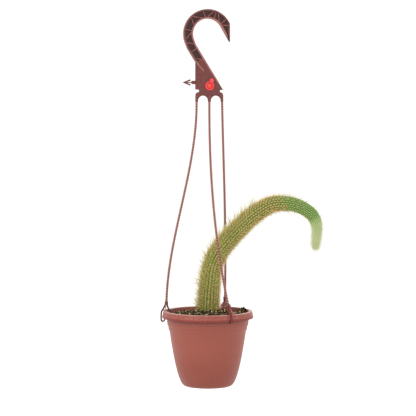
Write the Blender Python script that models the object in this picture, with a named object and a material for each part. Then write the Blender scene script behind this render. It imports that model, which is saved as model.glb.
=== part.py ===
# A small hanging pot with one monkey tail cactus: pot, soil, plant, moulded hanger and its button.
# Lengths are metres. Every piece is modelled from the middle of the pot's base upwards, and hangs
# from one empty that lowers the assembly until the crown of the hook's inside is the origin.

import math
import random

import bmesh
import bpy
from mathutils import Matrix, Vector, kdtree, noise

# Whole object
OVERALL_HEIGHT = 0.4572
FIT_GAP = 0.0003

# Pot: a turned shell with a bell body, a short flare and a hollow collar
POT_HEIGHT = 0.09144
POT_SIDES = 40
WALL = 0.0014
BASE_FLAT_RADIUS = 0.0280
BASE_CORNER = (0.0294, 0.0006)
BASE_RADIUS = 0.0275
BODY_TOP = 0.0658
BODY_TOP_RADIUS = 0.0464
BODY_CURVE = 0.49
BODY_LEVELS = (0.0020, 0.0060, 0.0130, 0.0230, 0.0350, 0.0500, BODY_TOP)
FLARE_TOP = 0.0795
FLARE_TOP_RADIUS = 0.0497
# Ledges step the flare outwards: radius and height of each corner
FLARE_STEPS = (
    (0.0466, 0.0660),
    (0.0469, 0.0683),
    (0.0478, 0.0689),
    (0.0482, 0.0733),
    (0.0491, 0.0739),
    (FLARE_TOP_RADIUS, FLARE_TOP),
)
COLLAR_BOTTOM = 0.0832
COLLAR_LIP_RADIUS = 0.0554
COLLAR_TOP_RADIUS = 0.0542
COLLAR_SKIN = 0.0010
RIM_INNER_RADIUS = 0.0499
RIM_ROUND = 0.0005
DRAIN_HOLES = 6
DRAIN_RADIUS = 0.0035
DRAIN_CIRCLE = 0.0190

# Soil: fills the pot and rises a little towards the stem
SOIL_EDGE_HEIGHT = 0.0862
SOIL_STEM_HEIGHT = 0.0922
SOIL_RINGS = (0.0180, 0.0240, 0.0310, 0.0380, 0.0440)
SOIL_LUMP = 0.0011
SOIL_LUMP_SIZE = 0.0075
SOIL_HEAP = Vector((0.0437, 0.0150))
SOIL_HEAP_HEIGHT = 0.0066
SOIL_HEAP_RADIUS = 0.0060

# Stem: the middle line seen from the front as (across, up), from the root to the hanging tip
STEM_ROUTE = (
    (-0.0002, 0.0660),
    (-0.0002, 0.0970),
    (0.0012, 0.1220),
    (0.0049, 0.1470),
    (0.0140, 0.1660),
    (0.0290, 0.1840),
    (0.0440, 0.1995),
    (0.0585, 0.2118),
    (0.0760, 0.2218),
    (0.0948, 0.2230),
    (0.1110, 0.2190),
    (0.1250, 0.2095),
    (0.1313, 0.1965),
    (0.1312, 0.1815),
    (0.1300, 0.1705),
)
# Core radius at distances along the stem from the soil
STEM_RADII = (
    (-0.030, 0.0098),
    (-0.020, 0.0124),
    (0.000, 0.0127),
    (0.040, 0.0112),
    (0.090, 0.0101),
    (0.140, 0.0095),
    (0.180, 0.0084),
    (0.210, 0.0075),
    (0.232, 0.0066),
    (0.240, 0.0052),
    (0.250, 0.0050),
    (0.258, 0.0046),
)
STEM_HOLE_RADIUS = 0.0134
STEM_ROOT = 0.0660
RIBS = 16
RIB_DEPTH = 0.0011
RING_SPACING = 0.0060
TIP_ANGLES = (25, 50, 72)

# Spines: one on every second crest point; length by distance along the stem from the soil
SPINE_ROOT = 0.0005
SPINE_LENGTHS = (
    (0.000, 0.0085),
    (0.040, 0.0100),
    (0.110, 0.0085),
    (0.165, 0.0055),
    (0.200, 0.0034),
    (0.236, 0.0030),
    (0.240, 0.0040),
    (0.270, 0.0036),
)
SPINE_START = 0.004
SPINE_LEAN = 0.30
SPINE_SPREAD = 0.16
SPINE_CLEARANCE = 0.0032

# Hanger: hook and plate, and three twisted strands that end in rim clips
HANGER_YAW = math.radians(12)
HOOK_RADIUS = 0.0299
HOOK_INNER_RADIUS = 0.0185
HOOK_SHIFT = Vector((-0.0002, 0.0))
HOOK_DEPTH = 0.0058
HOOK_TIP_DEPTH = 0.0030
HOOK_WEB = 0.0020
HOOK_FLANGE = 0.0020
HOOK_STEP = 10
HOOK_ARC = (204, 25)
HOOK_INNER_ARC = (206, 28)
HOOK_TIP = Vector((0.0271, -0.0096))
HOOK_TIP_INNER = Vector((0.0263, -0.0091))
SHANK_SLOPE = math.radians(58)
SHANK_OUTER = 0.0309
SHANK_INNER = 0.0197
SHANK_STATIONS = (0.0370, 0.0210, 0.0060)
# Zigzag ribs of the web, each from an angle on the outer flange to one on the inner flange
RIB_ANGLES = (
    (201, 219),
    (194, 173),
    (169, 169),
    (136, 150),
    (133, 107),
    (102, 99),
    (75, 94),
    (70, 67),
    (64, 45),
    (39, 37),
    (21, 33),
)
SHANK_RIB = 0.0075
RIB_WIDTH = 0.0012
PLATE_DEPTH = 0.0040
BRIDGE_DEPTH = 0.0030
STRAND_GAP = 0.0158
STRAND_MIDDLE = 0.0019
STRAND_WIDTH = 0.0033
STRAND_TOP = -0.0822
STRAND_BOW = {"left": 0.0009, "front": 0.0, "back": 0.0014}
STRAND_SWING = 2.3
ARCH_RADIUS = 0.0063
ARCH_SPRING = -0.0806
PLATE_LEFT = -0.0153
PLATE_BOTTOM = -0.0668
PLATE_TIP = Vector((0.0187, -0.0674))
NECK_LEFT = -0.0107
NECK_RIGHT = 0.0147
NECK_BOTTOM = -0.0734
BRIDGE_TOP = -0.0700
BRIDGE_SHOULDER = 0.0040
TWIST_STEP = 0.001665
TWIST_ANGLE = math.radians(45)
TAG_HEIGHT = -0.0584
TAG_DEPTH = 0.0022
CLIP_ANGLES = {"left": 182.5, "front": -60.0, "back": 65.0}
CLIP_RADIUS = 0.0504
CLIP_TOP = 0.1008
CLIP_WIDTH = 0.0017
# Middle line and thickness of each leg, as (from the pot's axis, up, thickness)
CLIP_OUTER_LEG = (
    (0.0506, 0.1014, 0.0022),
    (0.0524, 0.0976, 0.0021),
    (0.0544, 0.0941, 0.0019),
    (0.0562, 0.0911, 0.0019),
    (0.0567, 0.0882, 0.0019),
    (0.0568, 0.0814, 0.0019),
    (0.0562, 0.0796, 0.0018),
    (0.0550, 0.0789, 0.0018),
    (0.0537, 0.0793, 0.0018),
    (0.0527, 0.0806, 0.0017),
    (0.0523, 0.0832, 0.0014),
    (0.05205, 0.0865, 0.0010),
    (0.05194, POT_HEIGHT - WALL - FIT_GAP, 0.0006),
)
CLIP_INNER_LEG = (
    (0.0502, 0.1017, 0.0021),
    (0.0492, 0.0976, 0.0020),
    (0.0480, 0.0948, 0.0018),
    (0.0463, 0.0921, 0.0014),
    (0.0448, 0.0899, 0.0012),
    (0.0434, 0.0846, 0.0010),
)
CROSSBAR = ((0.0470, 0.0927, 0.0010), (0.0546, 0.0927, 0.0010))
# The lump where strand and legs meet: rings as (middle, half across, half along the rim, up)
KNUCKLE = (
    (0.0507, 0.0023, 0.00135, 0.0988),
    (0.0505, 0.0021, 0.00160, 0.1004),
    (0.0504, 0.0019, 0.00170, 0.1020),
    (0.0504, 0.0016, 0.00160, 0.1042),
)
GUSSET_RADIUS = 0.0513
GUSSET_SKIN = 0.0012
GUSSET_REACH = 0.0066

# Button: a snap-in disc with a small ear, on the plate's front
BUTTON_ACROSS = 0.0019
BUTTON_HEIGHT = -0.0624
BUTTON_SIDES = 20
BUTTON_SHANK = 0.0023
EAR_OFFSET = Vector((0.0024, 0.0064))
EAR_RADIUS = 0.0029

HOOK_CENTRE = OVERALL_HEIGHT - HOOK_RADIUS
HANG_HEIGHT = HOOK_CENTRE + math.sqrt(HOOK_INNER_RADIUS**2 - HOOK_SHIFT.x**2)


def clear_scene():
    for item in list(bpy.data.objects):
        bpy.data.objects.remove(item)


def material(name, colour, roughness):
    found = bpy.data.materials.new(name)
    found.use_nodes = True
    shader = found.node_tree.nodes["Principled BSDF"]
    shader.inputs["Base Color"].default_value = (*colour, 1.0)
    shader.inputs["Roughness"].default_value = roughness
    shader.inputs["Metallic"].default_value = 0.0
    return found


def object_from(name, bm):
    bmesh.ops.recalc_face_normals(bm, faces=bm.faces[:])
    mesh = bpy.data.meshes.new(name)
    bm.to_mesh(mesh)
    bm.free()
    made = bpy.data.objects.new(name, mesh)
    bpy.context.scene.collection.objects.link(made)
    return made


def finished(made, name, finish, hang_frame):
    made.name = name
    made.data.materials.clear()
    made.data.materials.append(finish)
    made.data.shade_smooth()
    made.data.set_sharp_from_angle(angle=math.radians(40))
    made.parent = hang_frame
    return made


def blend(table, where):
    # Straight-line reading of a short table of (position, value)
    for (low, a), (high, b) in zip(table, table[1:]):
        if where <= high:
            return a + (b - a) * max(0.0, (where - low) / (high - low))
    return table[-1][1]


def loft(bm, rings):
    # Joins closed rings of equal length, then closes both ends
    made = [[bm.verts.new(point) for point in ring] for ring in rings]
    for lower, upper in zip(made, made[1:]):
        for i in range(len(lower)):
            j = (i + 1) % len(lower)
            bm.faces.new((lower[i], lower[j], upper[j], upper[i]))
    bm.faces.new(reversed(made[0]))
    bm.faces.new(made[-1])
    return made


def prism(bm, outline, depth):
    # An outline of (across, up) points, given thickness along +Y
    near = [bm.verts.new((x, -depth / 2, z)) for x, z in outline]
    face = bm.faces.new(near)
    pushed = bmesh.ops.extrude_face_region(bm, geom=[face])
    moved = [item for item in pushed["geom"] if isinstance(item, bmesh.types.BMVert)]
    bmesh.ops.translate(bm, verts=moved, vec=(0, depth, 0))


def turned(bm, profile, sides):
    # Spins (radius, height) points about the vertical axis
    verts = [bm.verts.new((radius, 0, height)) for radius, height in profile]
    edges = [bm.edges.new(pair) for pair in zip(verts, verts[1:])]
    bmesh.ops.spin(
        bm,
        geom=verts + edges,
        cent=(0, 0, 0),
        axis=(0, 0, 1),
        dvec=(0, 0, 0),
        angle=math.tau,
        steps=sides,
        use_merge=True,
    )
    bmesh.ops.remove_doubles(bm, verts=bm.verts[:], dist=1e-6)


def bar(bm, start, end, width, depth):
    # A flat bar between two (across, up) points
    along = (end - start).normalized()
    side = Vector((-along.y, along.x)) * width / 2
    outline = (start - side, end - side, end + side, start + side)
    prism(bm, outline, depth)


def ribbon(bm, path, width):
    # A strip that follows (across, up, thickness) points and is width deep along Y
    points = [Vector(point[:2]) for point in path]
    rings = []
    for i, point in enumerate(points):
        before = points[max(i - 1, 0)]
        after = points[min(i + 1, len(points) - 1)]
        along = (after - before).normalized()
        side = Vector((-along.y, along.x)) * path[i][2] / 2
        corners = (point + side, point - side)
        near = [Vector((c.x, -width / 2, c.y)) for c in corners]
        far = [Vector((c.x, width / 2, c.y)) for c in reversed(corners)]
        rings.append(near + far)
    loft(bm, rings)


def arc(centre, radius, start, end, steps):
    # Points on an arc, angles in degrees from +across towards up
    points = []
    for i in range(steps + 1):
        angle = math.radians(start + (end - start) * i / steps)
        points.append(centre + Vector((math.cos(angle), math.sin(angle))) * radius)
    return points


def joined(name, pieces):
    # One body from overlapping pieces
    base = pieces[0]
    helpers = bpy.data.collections.new(name + "_pieces")
    bpy.context.scene.collection.children.link(helpers)
    for piece in pieces[1:]:
        bpy.context.scene.collection.objects.unlink(piece)
        helpers.objects.link(piece)
    union = base.modifiers.new("join", "BOOLEAN")
    union.operation = "UNION"
    union.operand_type = "COLLECTION"
    union.collection = helpers
    union.solver = "EXACT"
    applied(base)
    for piece in pieces[1:]:
        bpy.data.objects.remove(piece)
    bpy.data.collections.remove(helpers)
    return base


def cut(base, cutters):
    # Takes each cutter out of the base, then removes the cutter
    for cutter in cutters:
        cutter.hide_render = True
        cutter.display_type = "WIRE"
        hole = base.modifiers.new("cut", "BOOLEAN")
        hole.operation = "DIFFERENCE"
        hole.object = cutter
        hole.solver = "EXACT"
    applied(base)
    for cutter in cutters:
        bpy.data.objects.remove(cutter)
    return base


def applied(base):
    graph = bpy.context.evaluated_depsgraph_get()
    mesh = bpy.data.meshes.new_from_object(base.evaluated_get(graph))
    base.modifiers.clear()
    base.data = mesh


def outer_radius(height):
    # The bell body's outside
    share = (height / BODY_TOP) ** BODY_CURVE
    return BASE_RADIUS + (BODY_TOP_RADIUS - BASE_RADIUS) * share


def inner_wall():
    # The pot's inside from below the rim down to the floor
    rim_side = (RIM_INNER_RADIUS, POT_HEIGHT - RIM_ROUND)
    flare = (FLARE_TOP_RADIUS - WALL, FLARE_TOP)
    body = [(outer_radius(z) - WALL, z) for z in reversed(BODY_LEVELS[1:])]
    return [rim_side, flare, *body, (BASE_FLAT_RADIUS - WALL / 2, WALL)]


def inner_radius(height):
    return blend([(z, r) for r, z in reversed(inner_wall())], height)


def pot_profile():
    base = [(0, 0), (BASE_FLAT_RADIUS, 0), BASE_CORNER]
    body = [(outer_radius(z), z) for z in BODY_LEVELS]
    channel_top = POT_HEIGHT - WALL
    collar = [
        (RIM_INNER_RADIUS + WALL, channel_top),
        (COLLAR_TOP_RADIUS - COLLAR_SKIN, channel_top),
        (COLLAR_LIP_RADIUS - COLLAR_SKIN, COLLAR_BOTTOM + RIM_ROUND),
        (COLLAR_LIP_RADIUS - RIM_ROUND, COLLAR_BOTTOM),
        (COLLAR_LIP_RADIUS, COLLAR_BOTTOM + RIM_ROUND),
        (COLLAR_TOP_RADIUS, POT_HEIGHT - RIM_ROUND),
        (COLLAR_TOP_RADIUS - RIM_ROUND, POT_HEIGHT),
        (RIM_INNER_RADIUS + RIM_ROUND, POT_HEIGHT),
    ]
    return [*base, *body, *FLARE_STEPS, *collar, *inner_wall(), (0, WALL)]


def make_pot():
    bm = bmesh.new()
    turned(bm, pot_profile(), POT_SIDES)
    pot = object_from("pot", bm)
    holes = []
    for i in range(DRAIN_HOLES):
        angle = math.tau * i / DRAIN_HOLES
        bm = bmesh.new()
        bmesh.ops.create_cone(
            bm,
            cap_ends=True,
            segments=10,
            radius1=DRAIN_RADIUS,
            radius2=DRAIN_RADIUS,
            depth=WALL * 4,
        )
        place = (DRAIN_CIRCLE * math.cos(angle), DRAIN_CIRCLE * math.sin(angle), WALL / 2)
        bmesh.ops.translate(bm, verts=bm.verts[:], vec=place)
        holes.append(object_from("drain_hole", bm))
    return cut(pot, holes)


def soil_height(x, y):
    # The edge level, the rise towards the stem, the lumps and the heap at the back right
    radius = math.hypot(x, y)
    edge = inner_radius(SOIL_EDGE_HEIGHT)
    share = (edge - radius) / (edge - STEM_HOLE_RADIUS)
    rise = (SOIL_STEM_HEIGHT - SOIL_EDGE_HEIGHT) * share
    lump = noise.noise(Vector((x, y, 0.4)) / SOIL_LUMP_SIZE) * SOIL_LUMP
    from_heap = (Vector((x, y)) - SOIL_HEAP).length / SOIL_HEAP_RADIUS
    return SOIL_EDGE_HEIGHT + rise + lump + SOIL_HEAP_HEIGHT * math.exp(-from_heap**2)


def soil_profile():
    wall = [point for point in inner_wall() if point[1] < SOIL_EDGE_HEIGHT]
    side = [(radius - FIT_GAP, height) for radius, height in wall[:-1]]
    floor = (wall[-1][0] - FIT_GAP, WALL + FIT_GAP)
    hole_floor = STEM_ROOT - FIT_GAP
    hole = [(0, hole_floor), (STEM_HOLE_RADIUS, hole_floor)]
    edge = inner_radius(SOIL_EDGE_HEIGHT) - FIT_GAP
    top = [(radius, SOIL_EDGE_HEIGHT) for radius in (STEM_HOLE_RADIUS, *SOIL_RINGS, edge)]
    return hole + top + side + [floor, (0, floor[1])]


def make_soil():
    bm = bmesh.new()
    turned(bm, soil_profile(), POT_SIDES)
    for vert in bm.verts:
        if abs(vert.co.z - SOIL_EDGE_HEIGHT) < 1e-6:
            vert.co.z = soil_height(vert.co.x, vert.co.y)
    return cut(object_from("soil", bm), [clip_slot(angle) for angle in CLIP_ANGLES.values()])


def clip_slot(angle):
    # The plain slot that a clip's inner leg stands in
    bm = bmesh.new()
    foot = Vector(CLIP_INNER_LEG[-1][:2])
    along = Vector(CLIP_INNER_LEG[-2][:2]) - foot
    half = CLIP_INNER_LEG[-2][2] / 2 + FIT_GAP
    below = foot - along.normalized() * FIT_GAP
    bar(bm, below, foot + along * 2.2, half * 2, CLIP_WIDTH + FIT_GAP * 2)
    bmesh.ops.rotate(
        bm, verts=bm.verts[:], matrix=Matrix.Rotation(math.radians(angle), 3, "Z")
    )
    return object_from("clip_slot", bm)


def smooth_route(points, spacing):
    # A smooth curve through the points, read at even steps
    points = [Vector(point) for point in points]
    padded = [points[0] * 2 - points[1], *points, points[-1] * 2 - points[-2]]
    dense = []
    for a, b, c, d in zip(padded, padded[1:], padded[2:], padded[3:]):
        for step in range(24):
            t = step / 24
            bend = (2 * a - 5 * b + 4 * c - d) * t * t + (3 * b - a - 3 * c + d) * t**3
            dense.append(0.5 * (2 * b + (c - a) * t + bend))
    dense.append(points[-1])
    lengths = [0.0]
    for a, b in zip(dense, dense[1:]):
        lengths.append(lengths[-1] + (b - a).length)
    count = max(2, round(lengths[-1] / spacing))
    evenly, i = [], 0
    for step in range(count + 1):
        target = lengths[-1] * step / count
        while lengths[i + 1] < target and i < len(lengths) - 2:
            i += 1
        share = (target - lengths[i]) / (lengths[i + 1] - lengths[i])
        evenly.append(dense[i].lerp(dense[i + 1], share))
    return evenly


def stem_stations():
    # Rings along the stem: middle, direction, distance from the soil and a closing factor
    route = smooth_route([(x, 0, z) for x, z in STEM_ROUTE], RING_SPACING)
    buried = SOIL_STEM_HEIGHT - STEM_ROOT
    length = RING_SPACING * (len(route) - 1)
    stations = []
    for i, point in enumerate(route):
        ahead = route[min(i + 1, len(route) - 1)] - route[max(i - 1, 0)]
        stations.append((point, ahead.normalized(), length * i / (len(route) - 1) - buried, 1.0))
    point, ahead, distance, _ = stations[-1]
    reach = blend(STEM_RADII, distance)
    for angle in TIP_ANGLES:
        beyond = reach * math.sin(math.radians(angle))
        closing = math.cos(math.radians(angle))
        stations.append((point + ahead * beyond, ahead, distance + beyond, closing))
    return stations


def stem_ring(station):
    middle, ahead, distance, closing = station
    side = Vector((0, 1, 0))
    up = ahead.cross(side)
    depth = RIB_DEPTH * min(max(distance / 0.006, 0.0), 1.0)
    core = blend(STEM_RADII, distance)
    ring = []
    for i in range(RIBS * 2):
        angle = math.tau * i / (RIBS * 2)
        radius = (core + depth * (0.5 if i % 2 else -0.5)) * closing
        ring.append(middle + (side * math.sin(angle) + up * math.cos(angle)) * radius)
    return ring


def spine_sites(stations, rings):
    # Crest points in a staggered pattern, each with its spine's direction and length
    draw = random.Random(7)
    sites = []
    for i, (middle, ahead, distance, closing) in enumerate(stations[:-1]):
        for rib in range(RIBS):
            spread = Vector((draw.gauss(0, 1), draw.gauss(0, 1), draw.gauss(0, 1)))
            stretch = draw.uniform(0.85, 1.15)
            if distance < SPINE_START or (i + rib) % 2 or closing < 0.5:
                continue
            root = rings[i][rib * 2 + 1]
            out = (root - middle).normalized()
            lean = SPINE_LEAN + 1.2 * (1 - closing)
            heading = (out + ahead * lean + spread * SPINE_SPREAD).normalized()
            sites.append((root, heading, blend(SPINE_LENGTHS, distance) * stretch))
    return sites


def clear_length(root, heading, length, tree):
    # Shortens a spine that would come near a strand of the hanger
    while length > 0.0015:
        near = min(tree.find(root + heading * length * share)[2] for share in (0.5, 0.75, 1))
        if near > SPINE_CLEARANCE:
            break
        length *= 0.8
    return length


def strand_tree():
    points = [point for name in CLIP_ANGLES for point in strand_route(name)]
    tree = kdtree.KDTree(len(points))
    for i, point in enumerate(points):
        tree.insert(point, i)
    tree.balance()
    return tree


def make_cactus():
    stations = stem_stations()
    rings = [stem_ring(station) for station in stations]
    bm = bmesh.new()
    made = loft(bm, rings)
    sites = spine_sites(stations, rings)
    finder = kdtree.KDTree(len(sites))
    for i, (root, _, _) in enumerate(sites):
        finder.insert(root, i)
    finder.balance()
    crests = [v for ring in made for v in ring if finder.find(v.co)[2] < 1e-6]
    beads = bmesh.ops.bevel(
        bm,
        geom=crests,
        offset=SPINE_ROOT,
        offset_type="OFFSET",
        segments=1,
        profile=0.5,
        affect="VERTICES",
        material=-1,
    )
    pulled = bmesh.ops.poke(bm, faces=beads["faces"], offset=0.0)
    strands = strand_tree()
    for vert in pulled["verts"]:
        root, heading, length = sites[finder.find(vert.co)[1]]
        vert.co = root + heading * clear_length(root, heading, length, strands)
    return object_from("cactus", bm)


def on_hook(radius, degrees):
    angle = math.radians(degrees)
    return HOOK_SHIFT + Vector((math.cos(angle), math.sin(angle))) * radius


def on_shank(offset, distance):
    # A point on the straight shank: offset from the hook's middle, distance down towards the plate
    outward = Vector((-math.sin(SHANK_SLOPE), -math.cos(SHANK_SLOPE)))
    down = Vector((math.cos(SHANK_SLOPE), -math.sin(SHANK_SLOPE)))
    return outward * offset + down * distance


def hook_edges():
    # Outer edge point, inner edge point and depth, from the plate round to the tip
    edges = []
    for distance in SHANK_STATIONS:
        pair = (on_shank(SHANK_OUTER, distance), on_shank(SHANK_INNER, distance))
        edges.append((*pair, HOOK_DEPTH))
    steps = round((HOOK_ARC[0] - HOOK_ARC[1]) / HOOK_STEP)
    for i in range(steps + 1):
        outer = HOOK_ARC[0] + (HOOK_ARC[1] - HOOK_ARC[0]) * i / steps
        inner = HOOK_INNER_ARC[0] + (HOOK_INNER_ARC[1] - HOOK_INNER_ARC[0]) * i / steps
        pair = (on_hook(HOOK_RADIUS, outer), on_hook(HOOK_INNER_RADIUS, inner))
        edges.append((*pair, HOOK_DEPTH))
    last_outer, last_inner, _ = edges[-1]
    for share in (0.33, 0.66, 1.0):
        pair = (last_outer.lerp(HOOK_TIP, share), last_inner.lerp(HOOK_TIP_INNER, share))
        edges.append((*pair, HOOK_DEPTH + (HOOK_TIP_DEPTH - HOOK_DEPTH) * share**2))
    return edges


def hook_section(outer, inner, depth):
    # An I section: two flanges at the edges with a thin web between them
    across = inner - outer
    flange = min(HOOK_FLANGE, across.length * 0.34)
    a = outer + across.normalized() * flange
    b = inner - across.normalized() * flange
    half, web = depth / 2, HOOK_WEB / 2
    corners = [(outer, -half), (a, -half), (a, -web), (b, -web), (b, -half), (inner, -half)]
    corners += [(point, -height) for point, height in reversed(corners)]
    return [Vector((point.x, height, point.y)) for point, height in corners]


def hook_ribs():
    # Both ends of each rib are sunk in the flanges
    outer_radius_here = HOOK_RADIUS - HOOK_FLANGE * 0.6
    inner_radius_here = HOOK_INNER_RADIUS + HOOK_FLANGE * 0.6
    ribs = []
    for outer, inner in RIB_ANGLES:
        ribs.append((on_hook(outer_radius_here, outer), on_hook(inner_radius_here, inner)))
    sunk = HOOK_FLANGE * 0.6
    shank_ends = (on_shank(SHANK_OUTER - sunk, SHANK_RIB), on_shank(SHANK_INNER + sunk, SHANK_RIB))
    return [*ribs, shank_ends]


def plate_outline():
    # From the shank's left flange down the left edge, round the neck and up the right flange
    top_left = (on_shank(SHANK_OUTER, 0).x - PLATE_LEFT) / -math.cos(SHANK_SLOPE)
    return [
        on_shank(SHANK_OUTER - 0.0004, top_left + 0.0002),
        Vector((PLATE_LEFT, on_shank(SHANK_OUTER, top_left).y - 0.0006)),
        Vector((PLATE_LEFT, PLATE_BOTTOM)),
        Vector((NECK_LEFT, PLATE_BOTTOM - 0.0004)),
        Vector((NECK_LEFT, NECK_BOTTOM)),
        Vector((NECK_RIGHT, NECK_BOTTOM)),
        Vector((NECK_RIGHT, PLATE_TIP.y)),
        PLATE_TIP,
        on_shank(SHANK_INNER + 0.0004, top_left + 0.0002),
    ]


def edge_flange(bm):
    # The right flange runs on along the plate's edge and sinks into it at the tip
    rings = []
    for distance, depth in ((SHANK_STATIONS[0] - 0.0020, HOOK_DEPTH), (0.0655, PLATE_DEPTH)):
        outer = on_shank(SHANK_INNER + 0.0001, distance)
        inner = on_shank(SHANK_INNER + HOOK_FLANGE - 0.0002, distance)
        half = depth / 2 - 0.0001
        corners = ((outer, -half), (inner, -half), (inner, half), (outer, half))
        rings.append([Vector((point.x, height, point.y)) for point, height in corners])
    loft(bm, rings)


def bridge_outline():
    # The strip below the neck, with an arch between each two strands
    left = STRAND_MIDDLE - STRAND_GAP - STRAND_WIDTH * 0.42
    right = STRAND_MIDDLE + STRAND_GAP + STRAND_WIDTH * 0.38
    shoulder = BRIDGE_SHOULDER
    points = arc(Vector((left + shoulder, BRIDGE_TOP - shoulder)), shoulder, 90, 180, 3)
    points.append(Vector((left, STRAND_TOP)))
    for side in (-0.5, 0.5):
        centre = Vector((STRAND_MIDDLE + STRAND_GAP * side, ARCH_SPRING))
        points.append(Vector((centre.x - ARCH_RADIUS, STRAND_TOP)))
        points += arc(centre, ARCH_RADIUS, 180, 0, 6)
        points.append(Vector((centre.x + ARCH_RADIUS, STRAND_TOP)))
    points.append(Vector((right, STRAND_TOP)))
    points += arc(Vector((right - shoulder, BRIDGE_TOP - shoulder)), shoulder, 0, 90, 3)
    return points


def tag_outline():
    # The barbed arrow on the plate's left edge, pointing away from it
    upper = [
        (-0.0218, 0.0039),
        (-0.0220, 0.0026),
        (-0.0270, 0.0009),
        (-0.0207, 0.0008),
        (-0.0194, 0.0021),
        (-0.0145, 0.0021),
    ]
    lower = [(x, -z) for x, z in reversed(upper)]
    return [Vector((x, TAG_HEIGHT + z)) for x, z in [(-0.0312, 0), *upper, *lower]]


def on_hanger(bm):
    # Turns pieces drawn about the hook's centre to where the hanger is
    place = Matrix.Translation((0, 0, HOOK_CENTRE)) @ Matrix.Rotation(HANGER_YAW, 4, "Z")
    bmesh.ops.transform(bm, verts=bm.verts[:], matrix=place)


def hanger_piece(name, build, *sizes):
    bm = bmesh.new()
    build(bm, *sizes)
    on_hanger(bm)
    return object_from(name, bm)


def strand_ends(name):
    order = {"left": -1, "front": 0, "back": 1}[name]
    across = STRAND_MIDDLE + STRAND_GAP * order
    top = Matrix.Rotation(HANGER_YAW, 3, "Z") @ Vector((across, 0, 0))
    top.z = HOOK_CENTRE + STRAND_TOP - FIT_GAP
    angle = math.radians(CLIP_ANGLES[name])
    bottom = Vector((math.cos(angle), math.sin(angle), 0)) * CLIP_RADIUS
    bottom.z = CLIP_TOP - 0.0012
    return top, bottom


def strand_route(name):
    # Both ends leave straight; the front strand bows round the stem before it swings outwards
    top, bottom = strand_ends(name)
    steps = round((top - bottom).length / TWIST_STEP)
    points = []
    for i in range(steps + 1):
        t = i / steps
        ease = t * t * (3 - 2 * t)
        point = top.lerp(bottom, ease)
        if name == "front":
            point.x = top.x + (bottom.x - top.x) * t**STRAND_SWING
        point.x += STRAND_BOW[name] * math.sin(math.pi * t)
        point.z = top.z + (bottom.z - top.z) * t
        points.append(point)
    return points


def make_strand(name):
    route = strand_route(name)
    rings = []
    for i, point in enumerate(route):
        turn = Matrix.Rotation(TWIST_ANGLE * i, 3, "Z")
        corners = [Vector((STRAND_WIDTH / 2, 0, 0)), Vector((0, STRAND_WIDTH / 2, 0))]
        corners += [-corner for corner in corners]
        rings.append([point + turn @ corner for corner in corners])
    bm = bmesh.new()
    loft(bm, rings)
    return object_from(name + "_strand", bm)


def gusset(bm):
    # A thin triangle across the clip, from its top down to the rim on one side
    foot = POT_HEIGHT + FIT_GAP
    outline = (
        (-CLIP_WIDTH * 0.3, foot),
        (GUSSET_REACH, foot),
        (GUSSET_REACH, foot + 0.0008),
        (CLIP_WIDTH * 0.45, CLIP_TOP - 0.0006),
        (-CLIP_WIDTH * 0.3, CLIP_TOP - 0.0006),
    )
    prism(bm, outline, GUSSET_SKIN)
    place = Matrix.Translation((GUSSET_RADIUS, 0, 0)) @ Matrix.Rotation(math.radians(90), 4, "Z")
    bmesh.ops.transform(bm, verts=bm.verts[:], matrix=place)


def knuckle(bm):
    rings = []
    for middle, across, along, height in KNUCKLE:
        corners = ((-across, -along), (across, -along), (across, along), (-across, along))
        rings.append([Vector((middle + x, y, height)) for x, y in corners])
    loft(bm, rings)


def make_clip(name):
    # Two legs that straddle the rim, a bar between them and a gusset; the outer leg hooks up
    # into the hollow collar
    strips = (
        (ribbon, CLIP_OUTER_LEG, CLIP_WIDTH),
        (ribbon, CLIP_INNER_LEG, CLIP_WIDTH * 0.88),
        (ribbon, CROSSBAR, CLIP_WIDTH * 0.84),
        (gusset,),
        (knuckle,),
    )
    pieces = []
    for build, *sizes in strips:
        bm = bmesh.new()
        build(bm, *sizes)
        turn = Matrix.Rotation(math.radians(CLIP_ANGLES[name]), 3, "Z")
        bmesh.ops.rotate(bm, verts=bm.verts[:], matrix=turn)
        pieces.append(object_from(name + "_clip", bm))
    return pieces


def make_hanger():
    pieces = [hanger_piece("hook", lambda bm: loft(bm, [hook_section(*p) for p in hook_edges()]))]
    pieces.append(hanger_piece("plate", prism, plate_outline(), PLATE_DEPTH))
    pieces.append(hanger_piece("bridge", prism, bridge_outline(), BRIDGE_DEPTH))
    pieces.append(hanger_piece("tag", prism, tag_outline(), TAG_DEPTH))
    pieces.append(hanger_piece("edge_flange", edge_flange))
    for i, (start, end) in enumerate(hook_ribs()):
        depth = HOOK_DEPTH - 0.0010 - 0.0002 * (i % 3)
        pieces.append(hanger_piece("rib", bar, start, end, RIB_WIDTH, depth))
    hanger = joined("hanger", pieces)
    return cut(hanger, [hanger_piece("button_hole", button_hole)])


def button_hole(bm):
    bmesh.ops.create_cone(
        bm,
        cap_ends=True,
        segments=BUTTON_SIDES,
        radius1=BUTTON_SHANK + FIT_GAP,
        radius2=BUTTON_SHANK + FIT_GAP,
        depth=PLATE_DEPTH * 2,
    )
    face_front(bm, 0.0)


def face_front(bm, forward):
    # From standing up along +Z to facing the front of the plate, at the button's place
    turn = Matrix.Rotation(math.radians(90), 4, "X")
    place = Matrix.Translation((BUTTON_ACROSS, -forward, BUTTON_HEIGHT))
    bmesh.ops.transform(bm, verts=bm.verts[:], matrix=place @ turn)


def button_profile():
    # Radius and height above the plate's front: domed middle, dished ring, shank and back head
    back = -PLATE_DEPTH - FIT_GAP
    return (
        (0, 0.0018),
        (0.0016, 0.0016),
        (0.0026, 0.0008),
        (0.0035, 0.0008),
        (0.0040, 0.0017),
        (0.0052, 0.0017),
        (0.0057, 0.0010),
        (0.0057, FIT_GAP),
        (BUTTON_SHANK, FIT_GAP),
        (BUTTON_SHANK, back),
        (0.0036, back),
        (0.0034, back - 0.0011),
        (0, back - 0.0011),
    )


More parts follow.
